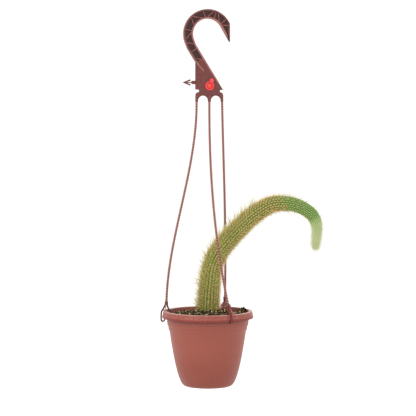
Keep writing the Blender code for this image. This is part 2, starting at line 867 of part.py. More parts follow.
def make_button():
    bm = bmesh.new()
    turned(bm, button_profile(), BUTTON_SIDES)
    face_front(bm, PLATE_DEPTH / 2)
    on_hanger(bm)
    disc = object_from("disc", bm)
    bm = bmesh.new()
    bmesh.ops.create_cone(
        bm,
        cap_ends=True,
        segments=14,
        radius1=EAR_RADIUS,
        radius2=EAR_RADIUS * 0.9,
        depth=0.0012,
    )
    bmesh.ops.translate(bm, verts=bm.verts[:], vec=(EAR_OFFSET.x, EAR_OFFSET.y, 0.0010))
    face_front(bm, PLATE_DEPTH / 2)
    on_hanger(bm)
    return joined("button", [disc, object_from("ear", bm)])


def main():
    clear_scene()
    hang_frame = bpy.data.objects.new("hang_frame", None)
    bpy.context.scene.collection.objects.link(hang_frame)
    hang_frame.location = (0, 0, -HANG_HEIGHT)
    brown = material("moulded_brown_plastic", (0.37, 0.12, 0.09), 0.45)
    dark_brown = material("moulded_dark_brown_plastic", (0.21, 0.07, 0.06), 0.45)
    earth = material("potting_mix", (0.05, 0.04, 0.03), 0.95)
    green = material("cactus_skin", (0.16, 0.26, 0.07), 0.6)
    red = material("red_plastic", (0.86, 0.06, 0.05), 0.35)
    finished(make_pot(), "pot", brown, hang_frame)
    finished(make_soil(), "soil", earth, hang_frame)
    finished(make_cactus(), "cactus", green, hang_frame)
    finished(make_hanger(), "hanger", dark_brown, hang_frame)
    for name in CLIP_ANGLES:
        # Each strand with its clip is a simple body of its own, a hair below the bridge's feet
        strand = joined(name + "_strand_and_clip", [make_strand(name), *make_clip(name)])
        finished(strand, name + "_strand", dark_brown, hang_frame)
    finished(make_button(), "button", red, hang_frame)
    bpy.context.view_layer.update()


main()
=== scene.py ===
import math
import random

import bmesh
import bpy
from mathutils import Euler, Matrix, Vector, kdtree, noise


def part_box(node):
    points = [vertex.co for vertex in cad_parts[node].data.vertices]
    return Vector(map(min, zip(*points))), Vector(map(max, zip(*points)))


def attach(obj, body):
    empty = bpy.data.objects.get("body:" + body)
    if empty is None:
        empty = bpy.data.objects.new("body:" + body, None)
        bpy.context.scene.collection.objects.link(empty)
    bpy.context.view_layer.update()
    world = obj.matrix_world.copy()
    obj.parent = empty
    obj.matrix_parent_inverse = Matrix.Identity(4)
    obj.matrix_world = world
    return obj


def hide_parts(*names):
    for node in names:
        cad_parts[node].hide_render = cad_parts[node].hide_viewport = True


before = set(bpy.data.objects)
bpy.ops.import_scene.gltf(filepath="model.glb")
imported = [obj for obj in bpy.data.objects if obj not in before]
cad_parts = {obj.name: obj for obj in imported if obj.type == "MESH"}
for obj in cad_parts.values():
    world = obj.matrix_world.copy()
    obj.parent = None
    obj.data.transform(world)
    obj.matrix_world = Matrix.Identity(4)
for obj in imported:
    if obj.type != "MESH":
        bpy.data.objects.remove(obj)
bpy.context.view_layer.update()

# Everything is drawn in metres from the middle of the pot's base up,
# and lifted to the frame when it is finished
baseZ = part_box("pot")[0][2]
mm = 0.001


# Small tools

def toLinear(colour):
    # An sRGB hex colour as the linear colour that the shaders take
    channels = [int(colour[i:i + 2], 16) / 255 for i in (0, 2, 4)]
    return (*[c / 12.92 if c <= 0.04045 else ((c + 0.055) / 1.055) ** 2.4 for c in channels], 1.0)


def clamped(value):
    return min(max(value, 0.0), 1.0)


def addNode(tree, kind, inputs=None, output=None, **settings):
    # Adds a node, sets or links its inputs, and gives the output that is named, or else the first in use
    node = tree.nodes.new("ShaderNode" + kind)
    for name, value in settings.items():
        if name == "stops":  # a colour ramp's places and colours
            ramp = node.color_ramp
            ramp.elements.remove(ramp.elements[1])
            ramp.elements[0].position = value[0][0]
            ramp.elements[0].color = toLinear(value[0][1])
            for place, colour in value[1:]:
                ramp.elements.new(place).color = toLinear(colour)
        else:
            setattr(node, name, value)
    for name, value in (inputs or {}).items():
        if isinstance(value, bpy.types.NodeSocket):
            tree.links.new(value, node.inputs[name])
        else:
            node.inputs[name].default_value = value
    if output:
        return node.outputs[output]
    return next(socket for socket in node.outputs if socket.enabled)


def startMaterial(name, values):
    # A Principled shader with its plain values, its node tree and the object's own coordinates
    made = bpy.data.materials.new(name)
    made.use_nodes = True
    tree = made.node_tree
    for socket, value in values.items():
        tree.nodes["Principled BSDF"].inputs[socket].default_value = value
    return made, tree, addNode(tree, "TexCoord", output="Object")


def joinShader(made, colour, grain=None, strength=0.0, depth=0.0, gloss=None):
    # Links what was drawn to the shader: its colour, the height of its grain and its roughness
    tree = made.node_tree
    sockets = tree.nodes["Principled BSDF"].inputs
    tree.links.new(colour, sockets["Base Color"])
    if grain:
        bump = addNode(tree, "Bump", {"Height": grain, "Strength": strength, "Distance": depth})
        tree.links.new(bump, sockets["Normal"])
    if gloss:
        tree.links.new(gloss, sockets["Roughness"])
    return made


def blendTable(table, where):
    # Reads a table of (place, value) pairs with straight runs between them
    if where <= table[0][0]:
        return table[0][1]
    for (a, low), (b, high) in zip(table, table[1:]):
        if where <= b:
            return low + (high - low) * (where - a) / (b - a)
    return table[-1][1]


def smoothRoute(points, spacing, fine=24):
    # A smooth curve through the points, read at even steps
    points = [Vector(point) for point in points]
    padded = [points[0] * 2 - points[1], *points, points[-1] * 2 - points[-2]]
    dense = []
    for a, b, c, d in zip(padded, padded[1:], padded[2:], padded[3:]):
        for step in range(fine):
            t = step / fine
            bend = (2 * a - 5 * b + 4 * c - d) * t * t + (3 * b - a - 3 * c + d) * t**3
            dense.append(0.5 * (2 * b + (c - a) * t + bend))
    dense.append(points[-1])
    lengths = [0.0]
    for a, b in zip(dense, dense[1:]):
        lengths.append(lengths[-1] + (b - a).length)
    count = max(2, round(lengths[-1] / spacing))
    evenly, i = [], 0
    for step in range(count + 1):
        target = lengths[-1] * step / count
        while lengths[i + 1] < target and i < len(lengths) - 2:
            i += 1
        share = (target - lengths[i]) / (lengths[i + 1] - lengths[i])
        evenly.append(dense[i].lerp(dense[i + 1], share))
    return evenly


def arcPoints(centre, radius, start, end, steps):
    angles = [math.radians(start + (end - start) * i / steps) for i in range(steps + 1)]
    return [centre + Vector((math.cos(a), math.sin(a))) * radius for a in angles]


def softCorners(points, reach):
    # Each corner of an open outline becomes a short round of three points
    points = [Vector(point) for point in points]
    rounded = [points[0]]
    for before, corner, after in zip(points, points[1:], points[2:]):
        back, on = before - corner, after - corner
        cut = min(reach, back.length * 0.45, on.length * 0.45)
        first = corner + back.normalized() * cut
        last = corner + on.normalized() * cut
        rounded += [first, (first + last) / 4 + corner / 2, last]
    return [*rounded, points[-1]]


def turnProfile(profile, steps):
    # A closed turned body: the profile starts and ends on the axis
    bm = bmesh.new()
    verts = [bm.verts.new((radius, 0, height)) for radius, height in profile]
    edges = [bm.edges.new(pair) for pair in zip(verts, verts[1:])]
    bmesh.ops.spin(
        bm, geom=verts + edges, cent=(0, 0, 0), axis=(0, 0, 1),
        angle=math.tau, steps=steps, use_merge=True,
    )
    bmesh.ops.remove_doubles(bm, verts=bm.verts[:], dist=1e-6)
    bmesh.ops.recalc_face_normals(bm, faces=bm.faces[:])
    return bm


def wrapGrid(columns, rows, placeAt, values):
    # A grid whose columns close round a body and whose end rows shrink to points
    bm = bmesh.new()
    for name in values:
        bm.verts.layers.float.new(name)
    made = bmesh.ops.create_grid(bm, x_segments=columns, y_segments=rows, size=1)["verts"]
    for i, vert in enumerate(made):
        row, column = divmod(i, columns + 1)
        placeAt(bm, vert, row, column / columns)
    bmesh.ops.remove_doubles(bm, verts=bm.verts[:], dist=1e-6)
    bmesh.ops.recalc_face_normals(bm, faces=bm.faces[:])
    return bm


def loftRings(rings, edge, degrees=40):
    # Draws the first ring as a face, extrudes it from ring to ring and rounds the edges
    bm = bmesh.new()
    face = bm.faces.new([bm.verts.new(place) for place in rings[0]])
    for ring in rings[1:]:
        made = bmesh.ops.extrude_face_region(bm, geom=[face])["geom"]
        face = next(item for item in made if isinstance(item, bmesh.types.BMFace))
        for vert, place in zip(face.verts, ring):
            vert.co = place
    bmesh.ops.recalc_face_normals(bm, faces=bm.faces[:])
    roundEdges(bm, edge, degrees)
    return bm


def extrudeOutline(outline, depth, edge):
    # A flat outline drawn in the upright plane, thickened evenly to both sides, with rounded edges
    bm = bmesh.new()
    face = bm.faces.new([bm.verts.new((point[0], depth / 2, point[1])) for point in outline])
    made = bmesh.ops.extrude_face_region(bm, geom=[face])["geom"]
    moved = [item for item in made if isinstance(item, bmesh.types.BMVert)]
    bmesh.ops.translate(bm, verts=moved, vec=(0, -depth, 0))
    bmesh.ops.recalc_face_normals(bm, faces=bm.faces[:])
    roundEdges(bm, edge)
    return bm


def roundEdges(bm, width, degrees=40):
    # Moulded plastic has no knife edges: every edge sharper than the angle is rounded
    limit = math.radians(degrees)
    sharp = [edge for edge in bm.edges if edge.calc_face_angle(0) > limit]
    bmesh.ops.bevel(
        bm, geom=sharp, offset=width, segments=2, profile=0.5,
        affect="EDGES", material=-1, clamp_overlap=True,
    )


def moveBy(bm, matrix):
    bmesh.ops.transform(bm, verts=bm.verts[:], matrix=matrix)


def toMesh(bm, name):
    mesh = bpy.data.meshes.new(name)
    bm.to_mesh(mesh)
    bm.free()
    return mesh


def addObject(name, data):
    made = bpy.data.objects.new(name, data)
    bpy.context.scene.collection.objects.link(made)
    return made


def takeIn(bm, other):
    # Adds another shape to this one
    mesh = toMesh(other, "passing")
    bm.from_mesh(mesh)
    bpy.data.meshes.remove(mesh)


def placeCopies(templates, places):
    # Copies of small shapes, each with its own place, size and tone
    bm = bmesh.new()
    shapes = [[c for vert in shape.vertices for c in vert.co] for shape in templates]
    for which, matrix, tone in places:
        template = templates[which]
        template.vertices.foreach_set("co", shapes[which])
        template.attributes["tone"].data.foreach_set("value", [tone] * len(template.vertices))
        template.transform(matrix)
        bm.from_mesh(template)
    return bm


def asTemplate(bm):
    # A small shape, ready to be copied: 'reach' runs from 0 at its foot to 1 at its tip
    reach = bm.verts.layers.float.new("reach")
    bm.verts.layers.float.new("tone")
    for vert in bm.verts:
        vert[reach] = clamped(vert.co.z)
    return toMesh(bm, "template")


def standOn(root, heading, size, turn):
    # The matrix that stands a template on a point, along a heading
    upright = heading.to_track_quat("Z", "Y").to_matrix().to_4x4()
    spin = Matrix.Rotation(turn, 4, "Z")
    return Matrix.Translation(root) @ upright @ spin @ Matrix.Scale(size, 4)


def finishPiece(name, bm, material, node, sharp=32):
    # Lifts a shape to the frame and makes it a piece; edges over 'sharp' degrees aren't shaded smooth
    bmesh.ops.translate(bm, verts=bm.verts[:], vec=(0, 0, baseZ))
    mesh = toMesh(bm, name)
    mesh.shade_smooth()
    mesh.set_sharp_from_angle(angle=math.radians(sharp))
    mesh.materials.append(material)
    piece = addObject(name, mesh)
    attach(piece, "root")
    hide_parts(node)
    print(f"{name}: {sum(len(p.vertices) - 2 for p in mesh.polygons)} triangles")
    return piece


# Camera, light and floor

cameraSetup = {
    "place": (0.00024, -2.170, 0.34004),  # straight in front, 340 mm above the pot's base
    "pitch": 3.249,  # degrees below level
    "lens": 154.872,  # mm, on the sensor's width
    "sensor": 36.0,
    "farClip": 60.0,
    "worldStrength": 1.08,
    "floorDrop": 0.13,
    "floorSize": 14.0,
    "lightsAim": (0.02, 0, 0.2),
    "lights": (
        # name, place from the aim, side in metres, watts
        ("keyLight", (-1.25, -1.25, 1.30), 0.9, 18.0),
        ("fillLight", (1.5, -0.9, 0.75), 1.2, 3.5),
        ("backLight", (0.4, 1.5, 1.2), 1.0, 6.0),
    ),
}


def makeStudio(setup):
    scene = bpy.context.scene
    scene.view_settings.view_transform = "Standard"
    camera = addObject("camera", bpy.data.cameras.new("camera"))
    camera.data.lens = setup["lens"]
    camera.data.sensor_width = setup["sensor"]
    camera.data.clip_end = setup["farClip"]
    x, y, z = setup["place"]
    camera.location = (x, y, baseZ + z)
    camera.rotation_euler = (math.radians(90 - setup["pitch"]), 0, 0)
    scene.camera = camera
    world = bpy.data.worlds.new("softWhiteRoom")
    world.use_nodes = True
    background = world.node_tree.nodes["Background"].inputs
    background["Color"].default_value = (1, 1, 1, 1)
    background["Strength"].default_value = setup["worldStrength"]
    scene.world = world
    x, y, z = setup["lightsAim"]
    for name, place, side, watts in setup["lights"]:
        lamp = addObject(name, bpy.data.lights.new(name, "AREA"))
        lamp.data.shape = "SQUARE"
        lamp.data.size = side
        lamp.data.energy = watts
        lamp.location = Vector((x, y, baseZ + z)) + Vector(place)
        lamp.rotation_euler = (-Vector(place)).to_track_quat("-Z", "Y").to_euler()
    bm = bmesh.new()
    bmesh.ops.create_grid(bm, x_segments=1, y_segments=1, size=setup["floorSize"])
    bmesh.ops.translate(bm, verts=bm.verts[:], vec=(0, 0, baseZ - setup["floorDrop"]))
    floor = addObject("paleFloor", toMesh(bm, "paleFloor"))
    # Uncoated paper: even, pale and without gloss
    paper, *_ = startMaterial("palePaper", {
        "Base Color": toLinear("F9F9F8"), "Roughness": 0.9, "Specular IOR Level": 0.1,
    })
    floor.data.materials.append(paper)
    print("studio ready")


# Pot: one injection-moulded shell with a bell body, stepped flare and hollow collar

pot = {
    "height": 91.44 * mm,
    "wall": 1.4 * mm,
    "baseFlat": 28.0 * mm,
    "baseRecess": 0.5 * mm,
    "baseRadius": 27.5 * mm,
    "bodyTop": 65.8 * mm,
    "bodyTopRadius": 46.4 * mm,
    "bodyCurve": 0.49,
    "flareTop": 79.5 * mm,
    "flareTopRadius": 49.7 * mm,
    # the flare's ledges in mm, as (radius, height); the one at 76.7 only catches the light
    "flareSteps": (
        (46.6, 66.0), (46.9, 68.3), (47.8, 68.9), (48.2, 73.3),
        (49.1, 73.9), (49.3, 76.4), (49.55, 76.7), (49.7, 79.5),
    ),
    "collarBottom": 83.2 * mm,
    "collarLip": 55.4 * mm,
    "collarTop": 54.2 * mm,
    "collarSkin": 1.0 * mm,
    "rimInner": 49.9 * mm,
    "edgeRound": 0.35 * mm,
    "drainHoles": 6,
    "drainRadius": 3.5 * mm,
    "drainCircle": 19.0 * mm,
    "levels": 26,
    "steps": 176,
}


def outerRadius(height):
    # The bell body's outside
    share = height / pot["bodyTop"]
    return pot["baseRadius"] + (pot["bodyTopRadius"] - pot["baseRadius"]) * share ** pot["bodyCurve"]


def bodyLevels():
    # Closer together near the base, where the bell turns in fastest
    low = 2.0 * mm
    return [low + (pot["bodyTop"] - low) * (i / pot["levels"]) ** 1.5 for i in range(pot["levels"] + 1)]


def innerWall():
    body = [(outerRadius(z) - pot["wall"], z) for z in reversed(bodyLevels()[1:])]
    top = (pot["rimInner"], pot["height"] - 0.5 * mm)
    flare = (pot["flareTopRadius"] - pot["wall"], pot["flareTop"])
    return [top, flare, *body, (pot["baseFlat"] - pot["wall"] / 2, pot["wall"])]


def innerRadius(height):
    return blendTable([(z, r) for r, z in reversed(innerWall())], height)


def potProfile():
    # From the middle of the base out, up the body and the flare, round the collar and down inside
    flat, lip, top = pot["baseFlat"], pot["collarLip"], pot["collarTop"]
    skin, low = pot["collarSkin"], pot["collarBottom"]
    base = [
        (flat - 2.2 * mm, pot["baseRecess"]),  # the foot ring round the recess
        (flat - 1.6 * mm, 0),
        (flat, 0),
        (flat + 1.4 * mm, 0.6 * mm),
    ]
    body = [(outerRadius(z), z) for z in bodyLevels()]
    flare = [(radius * mm, height * mm) for radius, height in pot["flareSteps"]]
    ceiling = pot["height"] - pot["wall"]
    collar = [
        (pot["rimInner"] + pot["wall"], ceiling),  # up into the hollow under the collar
        (top - skin, ceiling),
        (lip - skin - 0.25 * mm, low),
        (lip, low),  # the band along the collar's lower edge
        (lip - 0.05 * mm, low + 2.5 * mm),
        (lip - 0.40 * mm, low + 2.8 * mm),
        (top + 0.02 * mm, pot["height"] - 0.9 * mm),
        (top, pot["height"]),
        (pot["rimInner"], pot["height"]),
    ]
    outline = base + body + flare + collar + innerWall()[1:]
    return [(0, pot["baseRecess"]), *softCorners(outline, pot["edgeRound"]), (0, pot["wall"])]


def mouldedPotPlastic():
    # Injection-moulded polypropylene: a satin skin with faint flow clouds, painted darker towards the base as
    # shade, and a redder, mottled collar with painted shade under it and a painted highlight along the rim's
    # top
    made, tree, place = startMaterial("mouldedPotPlastic", {"IOR": 1.49, "Specular IOR Level": 0.42})
    flow = addNode(tree, "TexNoise", {"Vector": place, "Scale": 1 / (14 * mm), "Detail": 3.0})
    stretched = addNode(tree, "Mapping", {"Vector": place, "Scale": (1.0, 1.0, 2.2)})
    fleck = addNode(tree, "TexNoise", {
        "Vector": stretched, "Scale": 1 / (2.6 * mm), "Detail": 5.0, "Roughness": 0.7,
    })
    height = addNode(tree, "SeparateXYZ", {"Vector": place}, "Z")
    # Where each zone begins and is full, from the pot's base up, and how strong it gets
    low, top = pot["collarBottom"], pot["height"]
    paintedLightUpTheBody, band, corner, overCollar, rimHighlight = (
        addNode(tree, "MapRange", {
            "Value": height, "From Min": baseZ + start, "From Max": baseZ + full, "To Max": most,
        })
        for start, full, most in (
            # painted shade up the body: darker towards the base
            (0.0, 60 * mm, 1.0),
            (low + 3.0 * mm, low + 2.0 * mm, 0.26),
            # painted shade in the corner under the collar
            (low - 2.5 * mm, low - 1.5 * mm, 0.6),
            (low - 0.4 * mm, low - 0.1 * mm, 1.0),
            # painted highlight along the rim's top
            (top - 0.5 * mm, top - 0.2 * mm, 0.55),
        )
    )
    # Flow clouds over painted shade that darkens the body towards its base
    clouded = addNode(tree, "Math", {0: flow, 1: 0.5, 2: paintedLightUpTheBody}, operation="MULTIPLY_ADD")
    colour = addNode(tree, "ValToRGB", {"Fac": clouded}, stops=[
        (0.15, "7A3628"), (0.75, "843D2E"), (1.0, "8A4334"),
    ])
    # The collar is redder in the band along its lower edge, and pinker above it
    redder = addNode(tree, "Math", {0: fleck, 1: band}, operation="SUBTRACT")
    collar = addNode(tree, "ValToRGB", {"Fac": redder}, stops=[
        (0.16, "742318"), (0.30, "7E2C20"), (0.44, "823A2E"), (0.60, "97564A"),
    ])
    # Painted shade darkens the corner under the collar, and a painted highlight lightens the rim's top
    for zone, over in ((corner, toLinear("3E1C18")), (overCollar, collar), (rimHighlight, toLinear("C99A90"))):
        colour = addNode(tree, "Mix", {0: zone, 6: colour, 7: over}, data_type="RGBA")
    gloss = addNode(tree, "MapRange", {"Value": fleck, "To Min": 0.38, "To Max": 0.56})
    skin = addNode(tree, "TexNoise", {"Vector": place, "Scale": 1 / (0.45 * mm), "Detail": 2.0})
    return joinShader(made, colour, skin, 0.10, 0.1 * mm, gloss)


def cutAway(piece, bm):
    # Takes a shape out of a piece and clears the cutter away
    mesh = toMesh(bm, "cutter")
    cutter = addObject("cutter", mesh)
    modifier = piece.modifiers.new("cut", "BOOLEAN")
    modifier.object = cutter
    modifier.solver = "EXACT"
    with bpy.context.temp_override(object=piece, active_object=piece):
        bpy.ops.object.modifier_apply(modifier=modifier.name)
    bpy.data.objects.remove(cutter)
    bpy.data.meshes.remove(mesh)


def makePot():
    shell = turnProfile(potProfile(), pot["steps"])
    piece = finishPiece("potShell", shell, mouldedPotPlastic(), "pot", sharp=40)
    radius, depth = pot["drainRadius"], pot["wall"] * 6
    for i in range(pot["drainHoles"]):
        angle = math.tau * i / pot["drainHoles"]
        cutter = bmesh.new()
        bmesh.ops.create_cone(cutter, cap_ends=True, segments=32, radius1=radius, radius2=radius, depth=depth)
        place = Vector((math.cos(angle), math.sin(angle), 0)) * pot["drainCircle"]
        bmesh.ops.translate(cutter, verts=cutter.verts[:], vec=place + Vector((0, 0, baseZ)))
        cutAway(piece, cutter)
    print("pot ready")


# Hanger: one moulding of hook, plate, tag, rope-twist strands and clips, drawn about the hook's centre

hanger = {
    "centre": 427.3 * mm,
    "yaw": 12.0,
    "radius": 29.9 * mm,
    "inner": 18.5 * mm,
    "shift": Vector((-0.2 * mm, 0.0)),
    "depth": 5.8 * mm,
    "tipDepth": 3.0 * mm,
    "web": 2.0 * mm,
    "flange": 2.0 * mm,
    "arc": (204, 25),  # degrees at the shank and at the tip, for the outer edge and the inner one
    "innerArc": (206, 28),
    "tip": Vector((27.1, -9.6)) * mm,
    "tipInner": Vector((26.3, -9.1)) * mm,
    "slope": math.radians(58),
    "shankOuter": 30.9 * mm,
    "shankInner": 19.7 * mm,
    "stations": (26.5, 19.0, 13.0, 7.0, 2.0),  # mm down the shank, from the plate up
    "ribs": (  # degrees of each zigzag rib's ends, at the outer flange and at the inner one
        (201, 219), (194, 173), (169, 169), (136, 150), (133, 107), (102, 99),
        (75, 94), (70, 67), (64, 45), (39, 37), (21, 33),
    ),
    "shankRib": 7.5 * mm,
    "ribWidth": 1.4 * mm,
    "plateDepth": 4.0 * mm,
    # the plate's outline in mm, as (across, up): down its left edge, round the neck and to the right
    "plateCorners": (
        (-15.3, -66.8), (-10.7, -67.2), (-10.7, -73.4), (14.7, -73.4), (14.7, -67.4), (18.7, -67.4),
    ),
    # the bars on it in mm: from and to, as (offset, distance) on the shank, then width and depth
    "plateBars": (
        ((29.8, 24.8), (28.2, 35.6), 1.9, 5.95),
        ((20.7, 18.0), (20.7, 58.0), 2.1, 5.95),
        ((28.0, 17.4), (21.0, 23.4), 1.3, 4.7),
    ),
    "tagDepth": 2.2 * mm,
    "bridgeDepth": 3.0 * mm,
    "bridgeTop": -70.0 * mm,
    "bridgeShoulder": 4.0 * mm,
    "bridgeEnds": (0.42, 0.38),  # how far it passes the outer strands' middles, as shares of their width
    "strandGap": 15.8 * mm,
    "strandMiddle": 1.9 * mm,
    "strandWidth": 3.3 * mm,
    "strandTop": -82.2 * mm,
    "archRadius": 6.3 * mm,
    "archSpring": -80.6 * mm,
    "edgeRound": 0.28 * mm,
}


def onHook(radius, degrees):
    angle = math.radians(degrees)
    return hanger["shift"] + Vector((math.cos(angle), math.sin(angle))) * radius


def onShank(offset, distance):
    # A point on the straight shank: offset from the hook's middle, distance down towards the plate
    outward = Vector((-math.sin(hanger["slope"]), -math.cos(hanger["slope"])))
    down = Vector((math.cos(hanger["slope"]), -math.sin(hanger["slope"])))
    return outward * offset + down * distance


def hookEdges():
    # Outer edge point, inner edge point and depth, from the plate round to the tip
    depth, edges = hanger["depth"], []
    for distance in hanger["stations"]:
        outer, inner = (onShank(hanger[edge], distance * mm) for edge in ("shankOuter", "shankInner"))
        edges.append((outer, inner, depth))
    outers = arcPoints(hanger["shift"], hanger["radius"], *hanger["arc"], 60)
    inners = arcPoints(hanger["shift"], hanger["inner"], *hanger["innerArc"], 60)
    edges += [(outer, inner, depth) for outer, inner in zip(outers, inners)]
    for i in range(1, 9):
        share = i / 8
        outer, inner = outers[-1].lerp(hanger["tip"], share), inners[-1].lerp(hanger["tipInner"], share)
        edges.append((outer, inner, depth + (hanger["tipDepth"] - depth) * share**2))
    return edges


def hookSection(outer, inner, depth):
    # An I section: two flanges at the edges with a thin web between them
    across = inner - outer
    flange = min(hanger["flange"], across.length * 0.34)
    a = outer + across.normalized() * flange
    b = inner - across.normalized() * flange
    half, web = depth / 2, hanger["web"] / 2
    corners = [(outer, -half), (a, -half), (a, -web), (b, -web), (b, -half), (inner, -half)]
    corners += [(point, -height) for point, height in reversed(corners)]
    return [Vector((point.x, height, point.y)) for point, height in corners]


def plateOutline():
    # Between the ends of the shank's two flanges, a little inside them
    inset, outer = 0.4 * mm, hanger["shankOuter"]
    corners = [Vector(corner) * mm for corner in hanger["plateCorners"]]
    left = hanger["plateCorners"][0][0] * mm
    topLeft = (onShank(outer, 0).x - left) / -math.cos(hanger["slope"])
    return [
        onShank(outer - inset, topLeft + 0.2 * mm),
        Vector((left, onShank(outer, topLeft).y - 0.6 * mm)),
        *corners,
        onShank(hanger["shankInner"] + inset, topLeft + 0.2 * mm),
    ]


def archCentres():
    # An arch lies between each two strands
    across = [hanger["strandMiddle"] + hanger["strandGap"] * side for side in (-0.5, 0.5)]
    return [Vector((x, hanger["archSpring"])) for x in across]


def bridgeOutline():
    # The strip below the neck that carries the strands
    foot, shoulder = hanger["strandTop"], hanger["bridgeShoulder"]
    level = hanger["bridgeTop"] - shoulder
    before, past = (hanger["strandWidth"] * share for share in hanger["bridgeEnds"])
    left = hanger["strandMiddle"] - hanger["strandGap"] - before
    right = hanger["strandMiddle"] + hanger["strandGap"] + past
    points = arcPoints(Vector((left + shoulder, level)), shoulder, 90, 180, 6)
    points.append(Vector((left, foot)))
    for centre in archCentres():
        points.append(Vector((centre.x - hanger["archRadius"], foot)))
        points += arcPoints(centre, hanger["archRadius"], 180, 0, 20)
        points.append(Vector((centre.x + hanger["archRadius"], foot)))
    points.append(Vector((right, foot)))
    points += arcPoints(Vector((right - shoulder, level)), shoulder, 0, 90, 6)
    return points


def archLines(bm):
    # The raised line that runs round each arch on the bridge's front
    half = hanger["bridgeDepth"] / 2 + 0.35 * mm
    for centre in archCentres():
        near, far = (arcPoints(centre, hanger["archRadius"] + away * mm, 180, 0, 24) for away in (0.05, 0.85))
        rings = []
        for a, b in zip(near, far):
            corners = ((a, -half), (b, -half), (b, half), (a, half))
            rings.append([Vector((point.x, height, point.y)) for point, height in corners])
        takeIn(bm, loftRings(rings, 0.2 * mm))


def raisedBar(bm, start, end, width, depth):
    # A straight rounded bar between two points of the upright plane
    bar = bmesh.new()
    along, middle = end - start, (start + end) / 2
    bmesh.ops.create_cube(bar, size=1.0)
    bmesh.ops.scale(bar, verts=bar.verts[:], vec=(along.length, depth, width))
    roundEdges(bar, min(width, depth) * 0.28)
    turn = Matrix.Rotation(-math.atan2(along.y, along.x), 4, "Y")
    moveBy(bar, Matrix.Translation((middle.x, 0, middle.y)) @ turn)
    takeIn(bm, bar)


def plateBars(bm):
    # The shank's two flanges run on over the plate, with a short rib between them where the web ends
    for start, end, width, depth in hanger["plateBars"]:
        ends = [onShank(offset * mm, distance * mm) for offset, distance in (start, end)]
        raisedBar(bm, *ends, width * mm, depth * mm)


def tagOutline():
    # The barbed arrow on the plate's left edge, pointing away from it
    upper = [(-21.7, 4.0), (-21.3, 2.0), (-25.6, 0.6), (-20.7, 0.5), (-19.4, 2.1), (-14.5, 2.1)]
    lower = [(x, -z) for x, z in reversed(upper)]
    return [Vector((x, z - 58.4)) * mm for x, z in [(-31.2, 0), *upper, *lower]]


def onHanger(bm):
    # Turns pieces drawn about the hook's centre to where the hanger is
    turn = Matrix.Rotation(math.radians(hanger["yaw"]), 4, "Z")
    moveBy(bm, Matrix.Translation((0, 0, hanger["centre"])) @ turn)


def finishMoulding(name, bm, plastic, low, high):
    # This attribute is how far each point stands out: 0 deep in the web, 1 on the flanges' faces; the plastic
    # paints shade in the web and highlights on the faces from it
    relief = bm.verts.layers.float.new("relief")
    for vert in bm.verts:
        vert[relief] = clamped((abs(vert.co.y) / mm - low) / (high - low))
    onHanger(bm)
    finishPiece(name, bm, plastic, "hanger")


def mouldedHangerPlastic(name, stops):
    # The same polypropylene in a darker batch: flow marks, with painted shade in the hollows
    # and painted highlights where it stands out
    made, tree, place = startMaterial(name, {"IOR": 1.49, "Specular IOR Level": 0.42})
    flow = addNode(tree, "TexNoise", {
        "Vector": place, "Scale": 1 / (3.5 * mm), "Detail": 4.0, "Roughness": 0.65,
    })
    relief = addNode(tree, "Attribute", output="Fac", attribute_name="relief")
    clouded = addNode(tree, "Math", {0: flow, 1: 0.5, 2: relief}, operation="MULTIPLY_ADD")
    centred = addNode(tree, "Math", {0: clouded, 1: 0.25}, operation="SUBTRACT")
    # The ramp paints shade where the value is low, deep in the web, and highlights where it is high, on the
    # raised faces
    colour = addNode(tree, "ValToRGB", {"Fac": centred}, stops=stops)
    gloss = addNode(tree, "MapRange", {"Value": flow, "To Min": 0.34, "To Max": 0.52})
    skin = addNode(tree, "TexNoise", {"Vector": place, "Scale": 1 / (0.5 * mm), "Detail": 2.0})
    return joinShader(made, colour, skin, 0.10, 0.1 * mm, gloss)


def makeHook(plastic):
    bm = loftRings([hookSection(*edge) for edge in hookEdges()], hanger["edgeRound"])
    sunk = hanger["flange"] * 0.6  # the ribs' ends stand in the flanges
    ends = []
    for outer, inner in hanger["ribs"]:
        ends.append((onHook(hanger["radius"] - sunk, outer), onHook(hanger["inner"] + sunk, inner)))
    across = (hanger["shankOuter"] - sunk, hanger["shankInner"] + sunk)
    ends.append(tuple(onShank(offset, hanger["shankRib"]) for offset in across))
    for start, end in ends:
        raisedBar(bm, start, end, hanger["ribWidth"], hanger["depth"] - 1.2 * mm)
    finishMoulding("hookMoulding", bm, plastic, 1.0, 2.5)


def makePlate(plastic):
    edge = hanger["edgeRound"]
    for name, outline, depth, rounding, addRelief, low, high in (
        ("plate", plateOutline(), hanger["plateDepth"], edge, plateBars, 1.0, 2.5),
        ("strandBridge", bridgeOutline(), hanger["bridgeDepth"], edge, archLines, 0.6, 1.85),
        ("barbedTag", tagOutline(), hanger["tagDepth"], 0.15 * mm, None, 0.0, 1.7),
    ):
        bm = extrudeOutline(outline, depth, rounding)
        if addRelief:
            addRelief(bm)
        finishMoulding(name, bm, plastic, low, high)


# Strands: round bars with a thread wound round them like rope, from the bridge down to the clips

strand = {
    "angles": {"left": 182.5, "front": -60.0, "back": 65.0},
    "bow": {"left": 0.9 * mm, "front": 0.0, "back": 1.4 * mm},
    "swing": 2.3,
    "foot": 50.4 * mm,
    "footHeight": 99.6 * mm,
    "spacing": 0.42 * mm,
    "threadPitch": 3.33 * mm,
    "sides": 24,
    "groove": 0.30,  # how deep the thread's groove is, as a share of the radius
}


